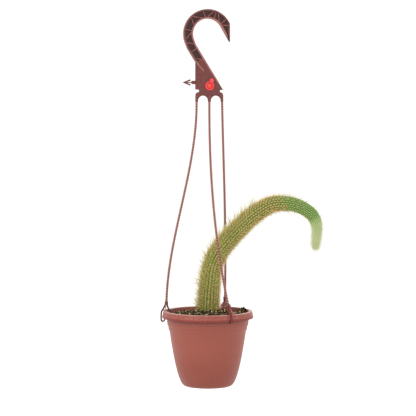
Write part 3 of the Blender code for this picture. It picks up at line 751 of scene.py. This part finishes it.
def strandRoute(name, spacing):
    order = {"left": -1, "front": 0, "back": 1}[name]
    across = hanger["strandMiddle"] + hanger["strandGap"] * order
    top = Matrix.Rotation(math.radians(hanger["yaw"]), 3, "Z") @ Vector((across, 0, 0))
    top.z = hanger["centre"] + hanger["strandTop"] + 1.5 * mm  # its end stands in the bridge
    angle = math.radians(strand["angles"][name])
    bottom = Vector((math.cos(angle), math.sin(angle), 0)) * strand["foot"]
    bottom.z = strand["footHeight"]
    steps = round((top - bottom).length / spacing)
    points = []
    for i in range(steps + 1):
        t = i / steps
        ease = t * t * (3 - 2 * t)
        point = top.lerp(bottom, ease)
        if name == "front":
            point.x = top.x + (bottom.x - top.x) * t ** strand["swing"]
        point.x += strand["bow"][name] * math.sin(math.pi * t)
        point.z = top.z + (bottom.z - top.z) * t
        points.append(point)
    return points


def makeStrands(plastic):
    for name in strand["angles"]:
        route = strandRoute(name, strand["spacing"])
        rows = [(route[0], 0.0), *[(point, 1.0) for point in route], (route[-1], 0.0)]

        def placeAt(bm, vert, row, turn):
            middle, size = rows[row]
            twist = math.tau * strand["spacing"] * row / strand["threadPitch"]
            angle = math.tau * turn
            ridge = 0.5 + 0.5 * math.cos(angle - twist)
            radius = hanger["strandWidth"] / 2 * (1 - strand["groove"] * (1 - ridge)) * size
            vert.co = middle + Vector((math.cos(angle), math.sin(angle), 0)) * radius
            # The thread's groove gets painted shade and its crest a painted highlight
            vert[bm.verts.layers.float["relief"]] = ridge

        bm = wrapGrid(strand["sides"], len(rows) - 1, placeAt, ["relief"])
        finishPiece(name + "Strand", bm, plastic, name + "_strand", sharp=70)


# Clips: two legs that straddle the pot's rim, a bar between them and a thin gusset

clip = {
    "width": 1.7 * mm,
    # middle line and thickness of each leg in mm, as (from the pot's axis, up, thickness)
    "outerLeg": (
        (50.6, 101.4, 2.2), (52.4, 97.6, 2.1), (54.4, 94.1, 1.9), (56.2, 91.1, 1.9), (56.7, 88.2, 1.9),
        (56.8, 81.4, 1.9), (56.2, 79.6, 1.8), (55.0, 78.9, 1.8), (53.7, 79.3, 1.8), (52.7, 80.6, 1.7),
        (52.3, 83.2, 1.4), (52.05, 86.5, 1.0), (51.94, 89.74, 0.6),
    ),
    "footLift": {"left": 0.0, "front": 2.5, "back": 2.5},  # mm that each foot is drawn up towards the collar
    "footTop": 83.0,  # mm; the outer leg's points below it are the foot's
    "innerLeg": (
        (50.2, 101.7, 2.1), (49.2, 97.6, 2.0), (48.0, 94.8, 1.8),
        (46.3, 92.1, 1.4), (44.8, 89.9, 1.2), (43.4, 84.6, 1.0),
    ),
    "crossbar": ((47.0, 92.7, 1.0), (54.6, 92.7, 1.0)),
    # the lump where strand and legs meet, as (middle, half across, half along the rim, up)
    "knuckle": (
        (50.7, 2.3, 1.35, 98.8), (50.5, 2.1, 1.6, 100.4), (50.4, 1.9, 1.7, 102.0), (50.4, 1.6, 1.6, 104.2),
    ),
    "gussetPlace": 51.3 * mm,
    "gussetTop": 100.2 * mm,
    "gussetReach": 6.6 * mm,
    "gussetSkin": 1.2 * mm,
}


def ribbonLeg(points, width):
    # A flat strip that follows its middle line, with rounded long edges
    fine = smoothRoute([Vector(point) * mm for point in points], 0.55 * mm)
    side = Vector((0, width / 2, 0))
    rings = []
    for i, (radius, height, thickness) in enumerate(fine):
        ahead = fine[min(i + 1, len(fine) - 1)] - fine[max(i - 1, 0)]
        outward = Vector((-ahead.y, 0, ahead.x)).normalized() * thickness / 2
        middle = Vector((radius, 0, height))
        rings.append([middle + outward * a + side * b for a, b in ((1, 1), (-1, 1), (-1, -1), (1, -1))])
    return loftRings(rings, 0.22 * mm, degrees=50)


def knuckleLump():
    rings = []
    for middle, across, along, height in clip["knuckle"]:
        corners = ((-across, -along), (across, -along), (across, along), (-across, along))
        rings.append([Vector((middle + x, y, height)) * mm for x, y in corners])
    return loftRings(rings, 0.5 * mm, degrees=50)


def gussetWeb():
    # A thin triangle across the clip, from its top down to the rim on one side
    foot, top, reach = pot["height"] + 0.3 * mm, clip["gussetTop"], clip["gussetReach"]
    near, far = -clip["width"] * 0.3, clip["width"] * 0.45
    outline = ((near, foot), (reach, foot), (reach, foot + 0.8 * mm), (far, top), (near, top))
    bm = extrudeOutline(outline, clip["gussetSkin"], 0.25 * mm)
    moveBy(bm, Matrix.Translation((clip["gussetPlace"], 0, 0)) @ Matrix.Rotation(math.radians(90), 4, "Z"))
    return bm


def makeClips(plastic, gussetHighlightPlastic):
    for name, degrees in strand["angles"].items():
        bm = bmesh.new()
        lift = clip["footLift"][name]
        outerLeg = [
            (radius, height + (lift if height < clip["footTop"] else 0), thickness)
            for radius, height, thickness in clip["outerLeg"]
        ]
        for points, share in ((outerLeg, 1.0), (clip["innerLeg"], 0.88), (clip["crossbar"], 0.84)):
            takeIn(bm, ribbonLeg(points, clip["width"] * share))
        takeIn(bm, knuckleLump())
        for ending, shape, material in (("Clip", bm, plastic), ("ClipGusset", gussetWeb(), gussetHighlightPlastic)):
            moveBy(shape, Matrix.Rotation(math.radians(degrees), 4, "Z"))
            finishPiece(name + ending, shape, material, name + "_strand")


def makeHanger():
    plastic, strandPlastic, clipPlastic, gussetHighlightPlastic = (mouldedHangerPlastic(*looks) for looks in (
        # From painted shade in the web to painted highlights on the flanges
        ("mouldedHangerPlastic", [
            (0.0, "321210"), (0.22, "4A201C"), (0.60, "5C2824"), (0.75, "6C3630"), (0.97, "8E5850"),
        ]),
        # From painted shade in the thread's groove to a painted highlight on its crest
        ("twistedStrandPlastic", [(0.2, "260A08"), (0.5, "6E322A"), (0.8, "B87666")]),
        ("mouldedClipPlastic", [(0.0, "682B25"), (0.12, "86443B")]),
        # a paler copy of the clip plastic, painted on the gusset as its highlight
        ("gussetHighlightWebPlastic", [(0.0, "A0625A"), (0.12, "BC8479")]),
    ))
    makeHook(plastic)
    makePlate(plastic)
    makeStrands(strandPlastic)
    makeClips(clipPlastic, gussetHighlightPlastic)
    print("hanger ready")


# Button: a red snap-in disc with a small ear, on the plate's front

button = {
    "across": 1.9 * mm,
    "height": -62.4 * mm,
    "shank": 2.3 * mm,
    # the face's section in mm, from its middle to its edge, as (radius, height over the plate)
    "face": (
        (0, 1.85), (1.3, 1.65), (2.2, 1.05), (2.7, 0.8), (3.5, 0.8),
        (4.0, 1.7), (5.2, 1.7), (5.7, 1.0), (5.7, 0.1),
    ),
    "earOffset": (2.4 * mm, 6.4 * mm, 1.0 * mm),
    "earRadius": 2.9 * mm,
    "earDepth": 1.2 * mm,
    "gap": 0.1 * mm,
}


def glossyRedPlastic():
    # Moulded polystyrene: bright even red with a clear highlight and the softest orange-peel
    made, tree, place = startMaterial("glossyRedPlastic", {
        "Roughness": 0.24, "IOR": 1.55, "Coat Weight": 0.15, "Coat Roughness": 0.12,
    })
    cloud = addNode(tree, "TexNoise", {"Vector": place, "Scale": 1 / (3 * mm), "Detail": 2.0})
    ring = addNode(tree, "Attribute", output="Fac", attribute_name="ring")
    clouded = addNode(tree, "Math", {0: cloud, 1: 0.1, 2: ring}, operation="MULTIPLY_ADD")
    # Orange-red in the middle, painted shade in the dished groove, a pinker ring round it
    colour = addNode(tree, "ValToRGB", {"Fac": clouded}, stops=[
        (0.05, "EE3C14"), (0.40, "E42C16"), (0.58, "B81814"),
        (0.66, "BC1A1A"), (0.80, "D42A2E"), (1.0, "D6363C"),
    ])
    peel = addNode(tree, "TexNoise", {"Vector": place, "Scale": 1 / (1.1 * mm), "Detail": 1.0})
    return joinShader(made, colour, peel, 0.06, 0.2 * mm)


def makeButton():
    shank, gap, radius = button["shank"], button["gap"], button["earRadius"]
    back = -hanger["plateDepth"] - gap
    profile = [(across * mm, height * mm) for across, height in button["face"]]
    # The shank through the plate and the snap-in head behind it
    profile += [(shank, gap), (shank, back), (3.6 * mm, back)]
    profile += [(3.4 * mm, back - 1.1 * mm), (0, back - 1.1 * mm)]
    bm = turnProfile(softCorners(profile, 0.25 * mm), 72)
    ear = bmesh.new()
    bmesh.ops.create_cone(
        ear, cap_ends=True, segments=40, radius1=radius, radius2=radius * 0.92, depth=button["earDepth"],
    )
    roundEdges(ear, 0.2 * mm)
    bmesh.ops.translate(ear, verts=ear.verts[:], vec=button["earOffset"])
    takeIn(bm, ear)
    ring = bm.verts.layers.float.new("ring")
    for vert in bm.verts:
        vert[ring] = min(vert.co.xy.length / (button["face"][-1][0] * mm), 1.0)
    # It was drawn standing up along Z, and is turned to face the front of the plate
    place = Matrix.Translation((button["across"], -hanger["plateDepth"] / 2, button["height"]))
    moveBy(bm, place @ Matrix.Rotation(math.radians(90), 4, "X"))
    onHanger(bm)
    finishPiece("redButton", bm, glossyRedPlastic(), "button")
    print("button ready")


# Potting mix: a lumpy bed of peat with dark crumbs, bark and pale grit on it

mix = {
    "edgeHeight": 86.2 * mm,
    "stemHeight": 92.2 * mm,
    "holeRadius": 11.9 * mm,
    "holeBottom": 66 * mm,
    "lump": 1.1 * mm,
    "lumpSize": 7.5 * mm,
    "heap": Vector((43.7, 15.0)) * mm,
    "heapHeight": 6.6 * mm,
    "heapRadius": 6.0 * mm,
    "rings": 44,
    "steps": 216,
    "crumbs": 1150,
    "grit": 210,
    # lumps heaped against the wall at the back right, as (across, away from the front, lift, size) in mm
    "heapLumps": (
        (41.3, 16.5, 0.2, 2.0), (46.0, 12.0, 0.1, 1.7), (43.6, 17.5, -0.3, 1.9), (42.5, 12.0, -0.4, 1.6),
        (38.5, 18.0, -0.6, 1.5), (46.5, 9.0, -0.5, 1.3), (44.0, 14.5, 0.4, 1.7),
    ),
    # larger bits that the photo shows, as (across, away from the front, size, tone) in mm
    "bits": (
        (-1.3, -31.0, 0.9, 0.98), (10.1, -15.6, 1.2, 0.40), (16.5, -8.0, 1.3, 0.50), (20.6, 0.0, 1.2, 0.56),
        (38.8, 8.0, 1.2, 0.15), (44.2, -2.0, 1.3, 0.08), (-22.0, -24.0, 1.0, 0.75), (-34.0, -14.0, 1.1, 0.45),
    ),
    "seed": 11,
}


def mixHeight(x, y):
    # The edge level, the rise towards the stem, the lumps and the heap at the back right
    radius = math.hypot(x, y)
    edge = innerRadius(mix["edgeHeight"])
    share = (edge - radius) / (edge - 13.4 * mm)
    rise = (mix["stemHeight"] - mix["edgeHeight"]) * share
    lump = noise.noise(Vector((x, y, 0.4)) / mix["lumpSize"]) * mix["lump"]
    fromHeap = (Vector((x, y)) - mix["heap"]).length / mix["heapRadius"]
    return mix["edgeHeight"] + rise + lump + mix["heapHeight"] * math.exp(-fromHeap**2)


def pottingMix():
    # Damp peat: dark, with near-black patches painted as the shade of hollows, olive-brown fibres, no shine
    made, tree, place = startMaterial("peatPottingMix", {"Roughness": 0.95, "Specular IOR Level": 0.08})
    clod, grain = (
        addNode(tree, "TexNoise", {
            "Vector": place, "Scale": 1 / (size * mm), "Detail": detail, "Roughness": 0.7,
        })
        for size, detail in ((3.2, 8.0), (0.9, 5.0))
    )
    # the near-black low stop is painted shade of hollows
    colour = addNode(tree, "ValToRGB", {"Fac": clod}, stops=[
        (0.36, "12100B"), (0.50, "2E261A"), (0.62, "55472F"), (0.74, "77653F"),
    ])
    return joinShader(made, colour, grain, 0.9, 0.6 * mm)


def crumbMaterial(name, stops, roughness, level):
    # Dry bark or mineral: each crumb has one tone of its own, broken up by a fine grain
    made, tree, place = startMaterial(name, {"Roughness": roughness, "Specular IOR Level": level})
    tone = addNode(tree, "Attribute", output="Fac", attribute_name="tone")
    grain = addNode(tree, "TexNoise", {"Vector": place, "Scale": 1 / (0.8 * mm), "Detail": 4.0})
    mixed = addNode(tree, "Math", {0: grain, 1: 0.24, 2: tone}, operation="MULTIPLY_ADD")
    centred = addNode(tree, "Math", {0: mixed, 1: 0.12}, operation="SUBTRACT")
    colour = addNode(tree, "ValToRGB", {"Fac": centred}, stops=stops)
    return joinShader(made, colour, grain, 0.6, 0.25 * mm)


def crumbTemplates(count, rough, squash):
    # Angular lumps of twenty faces, each knocked out of round in its own way
    noise.seed_set(mix["seed"])  # without a seed this noise is offset by the clock
    templates = []
    for i in range(count):
        bm = bmesh.new()
        bmesh.ops.create_icosphere(bm, subdivisions=1, radius=1.0)
        for vert in bm.verts:
            knock = noise.noise_vector(vert.co * 1.7 + Vector((i * 5.3, 2.1, 0.7)))
            vert.co += knock * rough
        bmesh.ops.scale(bm, verts=bm.verts[:], vec=(1.0, 0.8 + 0.05 * i, squash))
        templates.append(asTemplate(bm))
    return templates


def dropCrumb(draw, x, y, lift, size):
    # One of four crumb shapes and its place: turned at random, with its middle lifted off the bed
    turn = Euler([draw.uniform(0, math.tau) for _ in range(3)]).to_matrix().to_4x4()
    place = Matrix.Translation((x, y, mixHeight(x, y) + lift))
    return draw.randrange(4), place @ turn @ Matrix.Scale(size, 4)


def scatterOnMix(draw, count, small, large, sunk):
    # Random places over the whole bed, out to the pot's wall and in to the stem
    places = []
    inner, outer = 12.6 * mm, innerRadius(mix["edgeHeight"]) - 1.1 * mm
    for _ in range(count):
        radius = math.sqrt(draw.uniform(inner**2, outer**2))
        angle = draw.uniform(0, math.tau)
        x, y = radius * math.cos(angle), radius * math.sin(angle)
        size = small * (large / small) ** (draw.random() ** 1.8)
        places.append((*dropCrumb(draw, x, y, size * sunk, size), draw.random()))
    return places


def makePottingMix():
    hole, bottom, level = mix["holeRadius"], mix["holeBottom"], mix["edgeHeight"]
    edge = innerRadius(level) - 0.1 * mm
    rings = [hole + (edge - hole) * i / mix["rings"] for i in range(mix["rings"] + 1)]
    top = [(radius, level) for radius in rings]
    side = [(radius - 0.3 * mm, height) for radius, height in innerWall() if height < level]
    floor = pot["wall"] + 0.3 * mm
    profile = [(0, bottom), (hole, bottom), *top, *side[:-1], (side[-1][0], floor), (0, floor)]
    bm = turnProfile(profile, mix["steps"])
    for vert in bm.verts:
        if abs(vert.co.z - level) < 1e-6:
            rough = noise.fractal(vert.co / (2.4 * mm), 1.0, 2.0, 3) * 0.45 * mm
            vert.co.z = mixHeight(vert.co.x, vert.co.y) + rough
    finishPiece("peatBed", bm, pottingMix(), "soil", sharp=60)
    draw = random.Random(mix["seed"])
    crumbs = scatterOnMix(draw, mix["crumbs"], 0.45 * mm, 1.75 * mm, 0.25)
    for x, y, lift, size in mix["heapLumps"]:
        lump = dropCrumb(draw, x * mm, y * mm, lift * mm, size * mm)
        crumbs.append((*lump, 0.15 * draw.random()))
    grit = scatterOnMix(draw, mix["grit"], 0.35 * mm, 0.95 * mm, 0.9)
    for x, y, size, tone in mix["bits"]:
        grit.append((*dropCrumb(draw, x * mm, y * mm, size * 0.9 * mm, size * mm), tone))
    bark = crumbMaterial("barkCrumb", [
        (0.0, "0E0D0A"), (0.45, "262018"), (0.75, "564A38"), (1.0, "8E7A56"),
    ], 0.9, 0.1)
    mineral = crumbMaterial("mineralGrit", [
        (0.0, "A8602E"), (0.25, "CF8E58"), (0.5, "D8BE72"), (0.8, "F2E6B0"), (1.0, "F8F4E8"),
    ], 0.75, 0.3)
    for name, templates, places, material in (
        ("barkCrumbs", crumbTemplates(4, 0.55, 0.8), crumbs, bark),
        ("mineralGrit", crumbTemplates(4, 0.4, 0.75), grit, mineral),
    ):
        finishPiece(name, placeCopies(templates, places), material, "soil", sharp=180)
    print("potting mix ready")


# Cactus: one ribbed stem that arches over, with areoles, golden spines, long hairs and a woolly tip

cactus = {
    # the stem's middle line in mm, as (across, up)
    "route": (
        (0.4, 66.0), (0.7, 97.0), (2.2, 122.0), (5.9, 147.0), (15.0, 165.6), (30.0, 183.4), (45.0, 198.8),
        (59.5, 211.1), (77.0, 221.1), (95.8, 222.4), (112.0, 218.4), (126.0, 209.0), (132.3, 196.2),
        (132.2, 181.5), (131.0, 170.5),
    ),
    # radius of the core in mm by the distance from the soil in mm
    "radii": (
        (-30, 9.6), (-20, 11.8), (0, 12.1), (40, 10.9), (90, 10.1), (140, 9.4), (180, 8.3), (210, 7.4),
        (223, 6.8), (230, 5.5), (245, 4.9), (252, 4.4), (258, 3.8),
    ),
    "root": 66.0 * mm,
    "ribs": 20,
    "ribDepth": 0.8 * mm,
    "swell": 0.7 * mm,
    "areolePitch": 3.5 * mm,
    "spacing": 0.65 * mm,
    "columnsPerRib": 9,
    "tipRows": 12,
    "paleFrom": 172,  # mm along the stem where the felt turns from golden to pale green
    "crowdedFrom": 224,  # mm along the stem from where only some areoles keep their felt
    # sizes in mm and numbers for each areole, by the distance from the soil in mm
    "cushionSizes": ((0, 1.1), (160, 1.1), (190, 1.0), (222, 0.95), (240, 1.0), (265, 0.9)),
    "spineLengths": ((0, 4.4), (150, 4.0), (178, 2.5), (200, 1.5), (220, 1.4), (228, 2.4), (265, 2.8)),
    "spineCounts": ((0, 8), (60, 7), (150, 7), (178, 5), (200, 3), (220, 3), (228, 4), (265, 4)),
    "longSpines": ((0, 1.6), (140, 1.8), (180, 1.0), (200, 0.15), (270, 0.0)),
    "longHairs": ((0, 2.4), (60, 3.2), (105, 2.8), (130, 0.8), (150, 0.0)),
    "wool": ((222, 0), (227, 4), (265, 4)),
    # each piece's material, its colours at foot and tip in two tones, its roughness, and for bristles
    # the number of shapes, the thickness as a share of the length, and the bend
    "looks": {
        "areoleCushions": ("areoleFelt", (("D09A54", "F0CC92"), ("CC8C48", "E6B878")), 0.8, None),
        "paleCushions": ("paleAreoleFelt", (("D0D48C", "F2F2CC"), ("C8CC80", "E8E8B8")), 0.8, None),
        "goldenSpines": ("goldenSpine", (("CAB262", "F2EBB2"), ("C2A256", "E6D893")), 0.5, (1, 0.055, 0)),
        "longHairs": ("strawHair", (("B0A454", "D6CC84"), ("A89A48", "CCC074")), 0.6, (4, 0.036, 0.22)),
        "paleHairs": ("paleWool", (("B8BE84", "FAF6E4"), ("D2D09C", "F2EED2")), 0.6, (4, 0.026, 0.22)),
    },
    "strandClearance": 3.0 * mm,
    "seed": 5,
}


def inMillimetres(table, distance):
    return blendTable(table, distance / mm) * mm


def stemStations():
    # Middle, direction, distance from the soil and a closing factor, row by row up the stem
    route = smoothRoute([(x * mm, 0, z * mm) for x, z in cactus["route"]], cactus["spacing"])
    buried = mix["stemHeight"] - cactus["root"]
    length = sum((b - a).length for a, b in zip(route, route[1:]))
    stations = []
    for i, point in enumerate(route):
        ahead = route[min(i + 1, len(route) - 1)] - route[max(i - 1, 0)]
        stations.append((point, ahead.normalized(), length * i / (len(route) - 1) - buried, 1.0))
    rows = [(*stations[0][:3], 0.0), *stations]
    point, ahead, distance, _ = stations[-1]
    reach = inMillimetres(cactus["radii"], distance)
    for i in range(1, cactus["tipRows"] + 1):
        angle = math.radians(90 * i / cactus["tipRows"])
        beyond = reach * math.sin(angle)
        rows.append((point + ahead * beyond, ahead, distance + beyond, math.cos(angle)))
    return rows


def ribRelief(turn, distance):
    # 1 on a rib's crest and 0 in the groove; and 1 at an areole and 0 half-way to the next one
    rib = round(turn * cactus["ribs"])
    crest = 0.5 + 0.5 * math.cos(math.tau * (turn * cactus["ribs"] - rib))
    stagger = 0.5 if rib % 2 else 0.0
    swell = 0.5 + 0.5 * math.cos(math.tau * (distance / cactus["areolePitch"] - stagger))
    return crest, swell


def skinRadius(distance, crest, swell):
    # The ribs and the areoles' swellings fade out where the stem goes into the soil
    grown = clamped(distance / (6 * mm))
    ribs = cactus["ribDepth"] * (crest**0.8 - 0.5)
    swellings = cactus["swell"] * crest * (swell - 0.5)
    return inMillimetres(cactus["radii"], distance) + grown * (ribs + swellings)


def outwardAt(ahead, turn):
    side = Vector((0, 1, 0))
    up = ahead.cross(side)
    angle = math.tau * turn
    return side * math.sin(angle) + up * math.cos(angle)


def makeSkin(stations):
    def placeAt(bm, vert, row, turn):
        middle, ahead, distance, closing = stations[row]
        crest, swell = ribRelief(turn, distance)
        vert.co = middle + outwardAt(ahead, turn) * skinRadius(distance, crest, swell) * closing
        for name, value in (("along", distance), ("crest", crest), ("areole", crest**3 * swell**3)):
            vert[bm.verts.layers.float[name]] = value

    columns = cactus["ribs"] * cactus["columnsPerRib"]
    bm = wrapGrid(columns, len(stations) - 1, placeAt, ["along", "crest", "areole"])
    finishPiece("stemSkin", bm, cactusSkin(), "cactus", sharp=180)


def cactusSkin():
    # Waxy living skin: painted shade darkens the grooves and painted light brightens the rib crests, olive
    # low down, cream at the woolly tip
    made, tree, place = startMaterial("cactusSkin", {
        "Roughness": 0.55, "IOR": 1.42, "Specular IOR Level": 0.35,
    })
    along, crest, areole = (
        addNode(tree, "Attribute", output="Fac", attribute_name=name) for name in ("along", "crest", "areole")
    )
    share = addNode(tree, "MapRange", {"Value": along, "From Min": 0.0, "From Max": 0.27})
    # Colours from the soil to the tip: the grooves in painted shade, the crests in painted light, and the
    # spots of felt
    stemPlaces = (0.0, 0.25, 0.6, 0.80, 0.835, 0.92)
    spotPlaces = (0.0, 0.5, 0.65, 0.80, 0.84, 0.95)
    groove, ridge, spot = (
        addNode(tree, "ValToRGB", {"Fac": share}, stops=list(zip(places, colours.split())))
        for places, colours in (
            (stemPlaces, "566A2A 547428 4C682A 446629 7E9A56 94AA70"),
            (stemPlaces, "7C8A3A 728C38 6C8A3E 70944A B0BE84 CCD2A8"),
            (spotPlaces, "DCAC62 E0B86C D2CC82 C6D68C E2E4B8 F6F4DE"),
        )
    )
    cloud = addNode(tree, "TexNoise", {
        "Vector": place, "Scale": 1 / (2.6 * mm), "Detail": 4.0, "Roughness": 0.6,
    })
    shifted = addNode(tree, "Math", {0: cloud, 1: 0.9, 2: crest}, operation="MULTIPLY_ADD")
    factor = addNode(tree, "MapRange", {"Value": shifted, "From Min": 0.5, "From Max": 1.5})
    # mixing by the crest paints shade in the grooves and light on the crests
    colour = addNode(tree, "Mix", {0: factor, 6: groove, 7: ridge}, data_type="RGBA")
    felted = addNode(tree, "MapRange", {"Value": areole, "From Min": 0.12, "From Max": 0.6, "To Max": 0.85})
    spotted = addNode(tree, "Mix", {0: felted, 6: colour, 7: spot}, data_type="RGBA")
    pore = addNode(tree, "TexNoise", {"Vector": place, "Scale": 1 / (0.6 * mm), "Detail": 3.0})
    return joinShader(made, spotted, pore, 0.2, 0.15 * mm)


def hairMaterial(name, colours, roughness):
    # Dry plant fibre, dull to silky: its colour runs from foot to tip, and each one has its own tone
    made, tree, _ = startMaterial(name, {"Roughness": roughness, "IOR": 1.5, "Specular IOR Level": 0.3})
    reach, tone = (
        addNode(tree, "Attribute", output="Fac", attribute_name=value) for value in ("reach", "tone")
    )
    first, second = (
        addNode(tree, "ValToRGB", {"Fac": reach}, stops=[(0.0, foot), (1.0, tip)]) for foot, tip in colours
    )
    return joinShader(made, addNode(tree, "Mix", {0: tone, 6: first, 7: second}, data_type="RGBA"))


def hairTemplates(count, slender, bend):
    # Three-sided bristles one unit long, cut across twice so that they can curve
    templates = []
    for i in range(count):
        bm = bmesh.new()
        bmesh.ops.create_cone(
            bm, cap_ends=True, segments=3, radius1=slender, radius2=slender * 0.3, depth=1.0,
        )
        bmesh.ops.translate(bm, verts=bm.verts[:], vec=(0, 0, 0.5))
        if bend:
            for height in (0.36, 0.7):
                geometry = bm.verts[:] + bm.edges[:] + bm.faces[:]
                bmesh.ops.bisect_plane(bm, geom=geometry, plane_co=(0, 0, height), plane_no=(0, 0, 1))
            for vert in bm.verts:
                vert.co.x += bend * (0.5 + i / count) * vert.co.z**2
        templates.append(asTemplate(bm))
    return templates


def cushionTemplate():
    # A flattened lump of felt, wider across the rib than along it
    bm = bmesh.new()
    bmesh.ops.create_icosphere(bm, subdivisions=1, radius=1.0)
    bmesh.ops.scale(bm, verts=bm.verts[:], vec=(0.85, 1.15, 0.62))
    return asTemplate(bm)


def areoleSites(stations):
    # Every areole on the crests, in a staggered grid: root, outward, direction, distance
    rows = stations[1:-cactus["tipRows"]]
    first, pitch = rows[0][2], cactus["areolePitch"]
    sites = []
    for rib in range(cactus["ribs"]):
        stagger = 0.5 if rib % 2 else 0.0
        for k in range(math.ceil(rows[-1][2] / pitch - stagger)):
            distance = (k + stagger) * pitch
            if distance < 1.2 * mm:
                continue
            row = min(round((distance - first) / cactus["spacing"]), len(rows) - 1)
            middle, ahead, reached, _ = rows[row]
            out = outwardAt(ahead, rib / cactus["ribs"])
            sites.append((middle + out * skinRadius(reached, 1.0, 1.0), out, ahead, distance))
    # Three rings of them close the tip, at these degrees towards its end
    point, ahead, distance, _ = rows[-1]
    reach = inMillimetres(cactus["radii"], distance)
    for degrees, count in ((22, 14), (48, 10), (72, 5)):
        slant = math.radians(degrees)
        for i in range(count):
            normal = outwardAt(ahead, (i + degrees / 50) / count) * math.cos(slant) + ahead * math.sin(slant)
            sites.append((point + normal * reach, normal, ahead, distance + reach * degrees / 60))
    return sites


def strandTree():
    points = [point for name in strand["angles"] for point in strandRoute(name, 1.6 * mm)]
    tree = kdtree.KDTree(len(points))
    for i, point in enumerate(points):
        tree.insert(point, i)
    tree.balance()
    return tree


def clearLength(root, heading, length, tree):
    # Shortens a bristle that would come near a strand
    while length > 1.2 * mm:
        near = min(tree.find(root + heading * length * share)[2] for share in (0.5, 0.75, 1))
        if near > cactus["strandClearance"]:
            break
        length *= 0.8
    return length


def fanHeading(draw, out, ahead, lean, spread):
    # A direction in the fan of bristles that one areole carries
    across = out.cross(ahead)
    angle = draw.uniform(0, math.tau)
    tilt = spread * math.sqrt(draw.random())
    heading = out + (across * math.cos(angle) + ahead * math.sin(angle)) * tilt + ahead * lean
    return heading.normalized()


def makeBristles(sites, tree):
    draw = random.Random(cactus["seed"])
    kept = {name: [] for name in cactus["looks"]}

    def grow(name, site, lean, spread, length):
        root, out, ahead = site
        heading = fanHeading(draw, out, ahead, lean, spread)
        length = clearLength(root, heading, length * mm, tree)
        which = draw.randrange(cactus["looks"][name][3][0])
        kept[name].append((which, standOn(root, heading, length, draw.uniform(0, 6)), draw.random()))

    for root, out, ahead, distance in sites:
        along, site = distance / mm, (root, out, ahead)
        size, spines, longest, longSpines, longHairs, wool = (blendTable(cactus[table], along) for table in (
            "cushionSizes", "spineCounts", "spineLengths", "longSpines", "longHairs", "wool",
        ))
        name = "areoleCushions" if along + draw.uniform(-12, 12) < cactus["paleFrom"] else "paleCushions"
        if along < cactus["crowdedFrom"] or draw.random() < 0.4:
            foot = root - out * 0.15 * mm
            kept[name].append((0, standOn(foot, out, size * mm, draw.uniform(0, 6)), draw.random()))
        for _ in range(round(spines)):
            grow("goldenSpines", site, 0.25, 1.5, longest * draw.uniform(0.4, 1.0))
        # A few stand out further, more of them on the side that faces away from the arch
        away = max(0.0, -out.x) if along < 90 else max(0.0, out.z)
        if draw.random() < longSpines * (0.4 + 0.6 * away):
            grow("goldenSpines", site, 0.5, 0.7, draw.uniform(4.0, 6.0))
        # Long soft hairs low down on that side, short ones all round, and the wool of the tip
        if draw.random() < longHairs * away**1.2:
            grow("longHairs", site, 0.9, 0.6, draw.uniform(6.0, 12.5))
        if along < 75 and draw.random() < 0.35:
            grow("longHairs", site, 0.3, 0.7, draw.uniform(3.0, 5.0))
        for _ in range(round(wool)):
            grow("paleHairs", site, 1.1, 1.3, draw.uniform(2.2, 4.0))
    # A known fault: copying leaves the cushion moved, so the pale ones come out too small to be seen
    cushion = [cushionTemplate()]
    for name, (*looks, shape) in cactus["looks"].items():
        bm = placeCopies(hairTemplates(*shape) if shape else cushion, kept[name])
        finishPiece(name, bm, hairMaterial(*looks), "cactus", sharp=180)


def makeCactus():
    stations = stemStations()
    makeSkin(stations)
    makeBristles(areoleSites(stations), strandTree())
    print("cactus ready")


makeStudio(cameraSetup)
makePot()
makeHanger()
makeButton()
makePottingMix()
makeCactus()
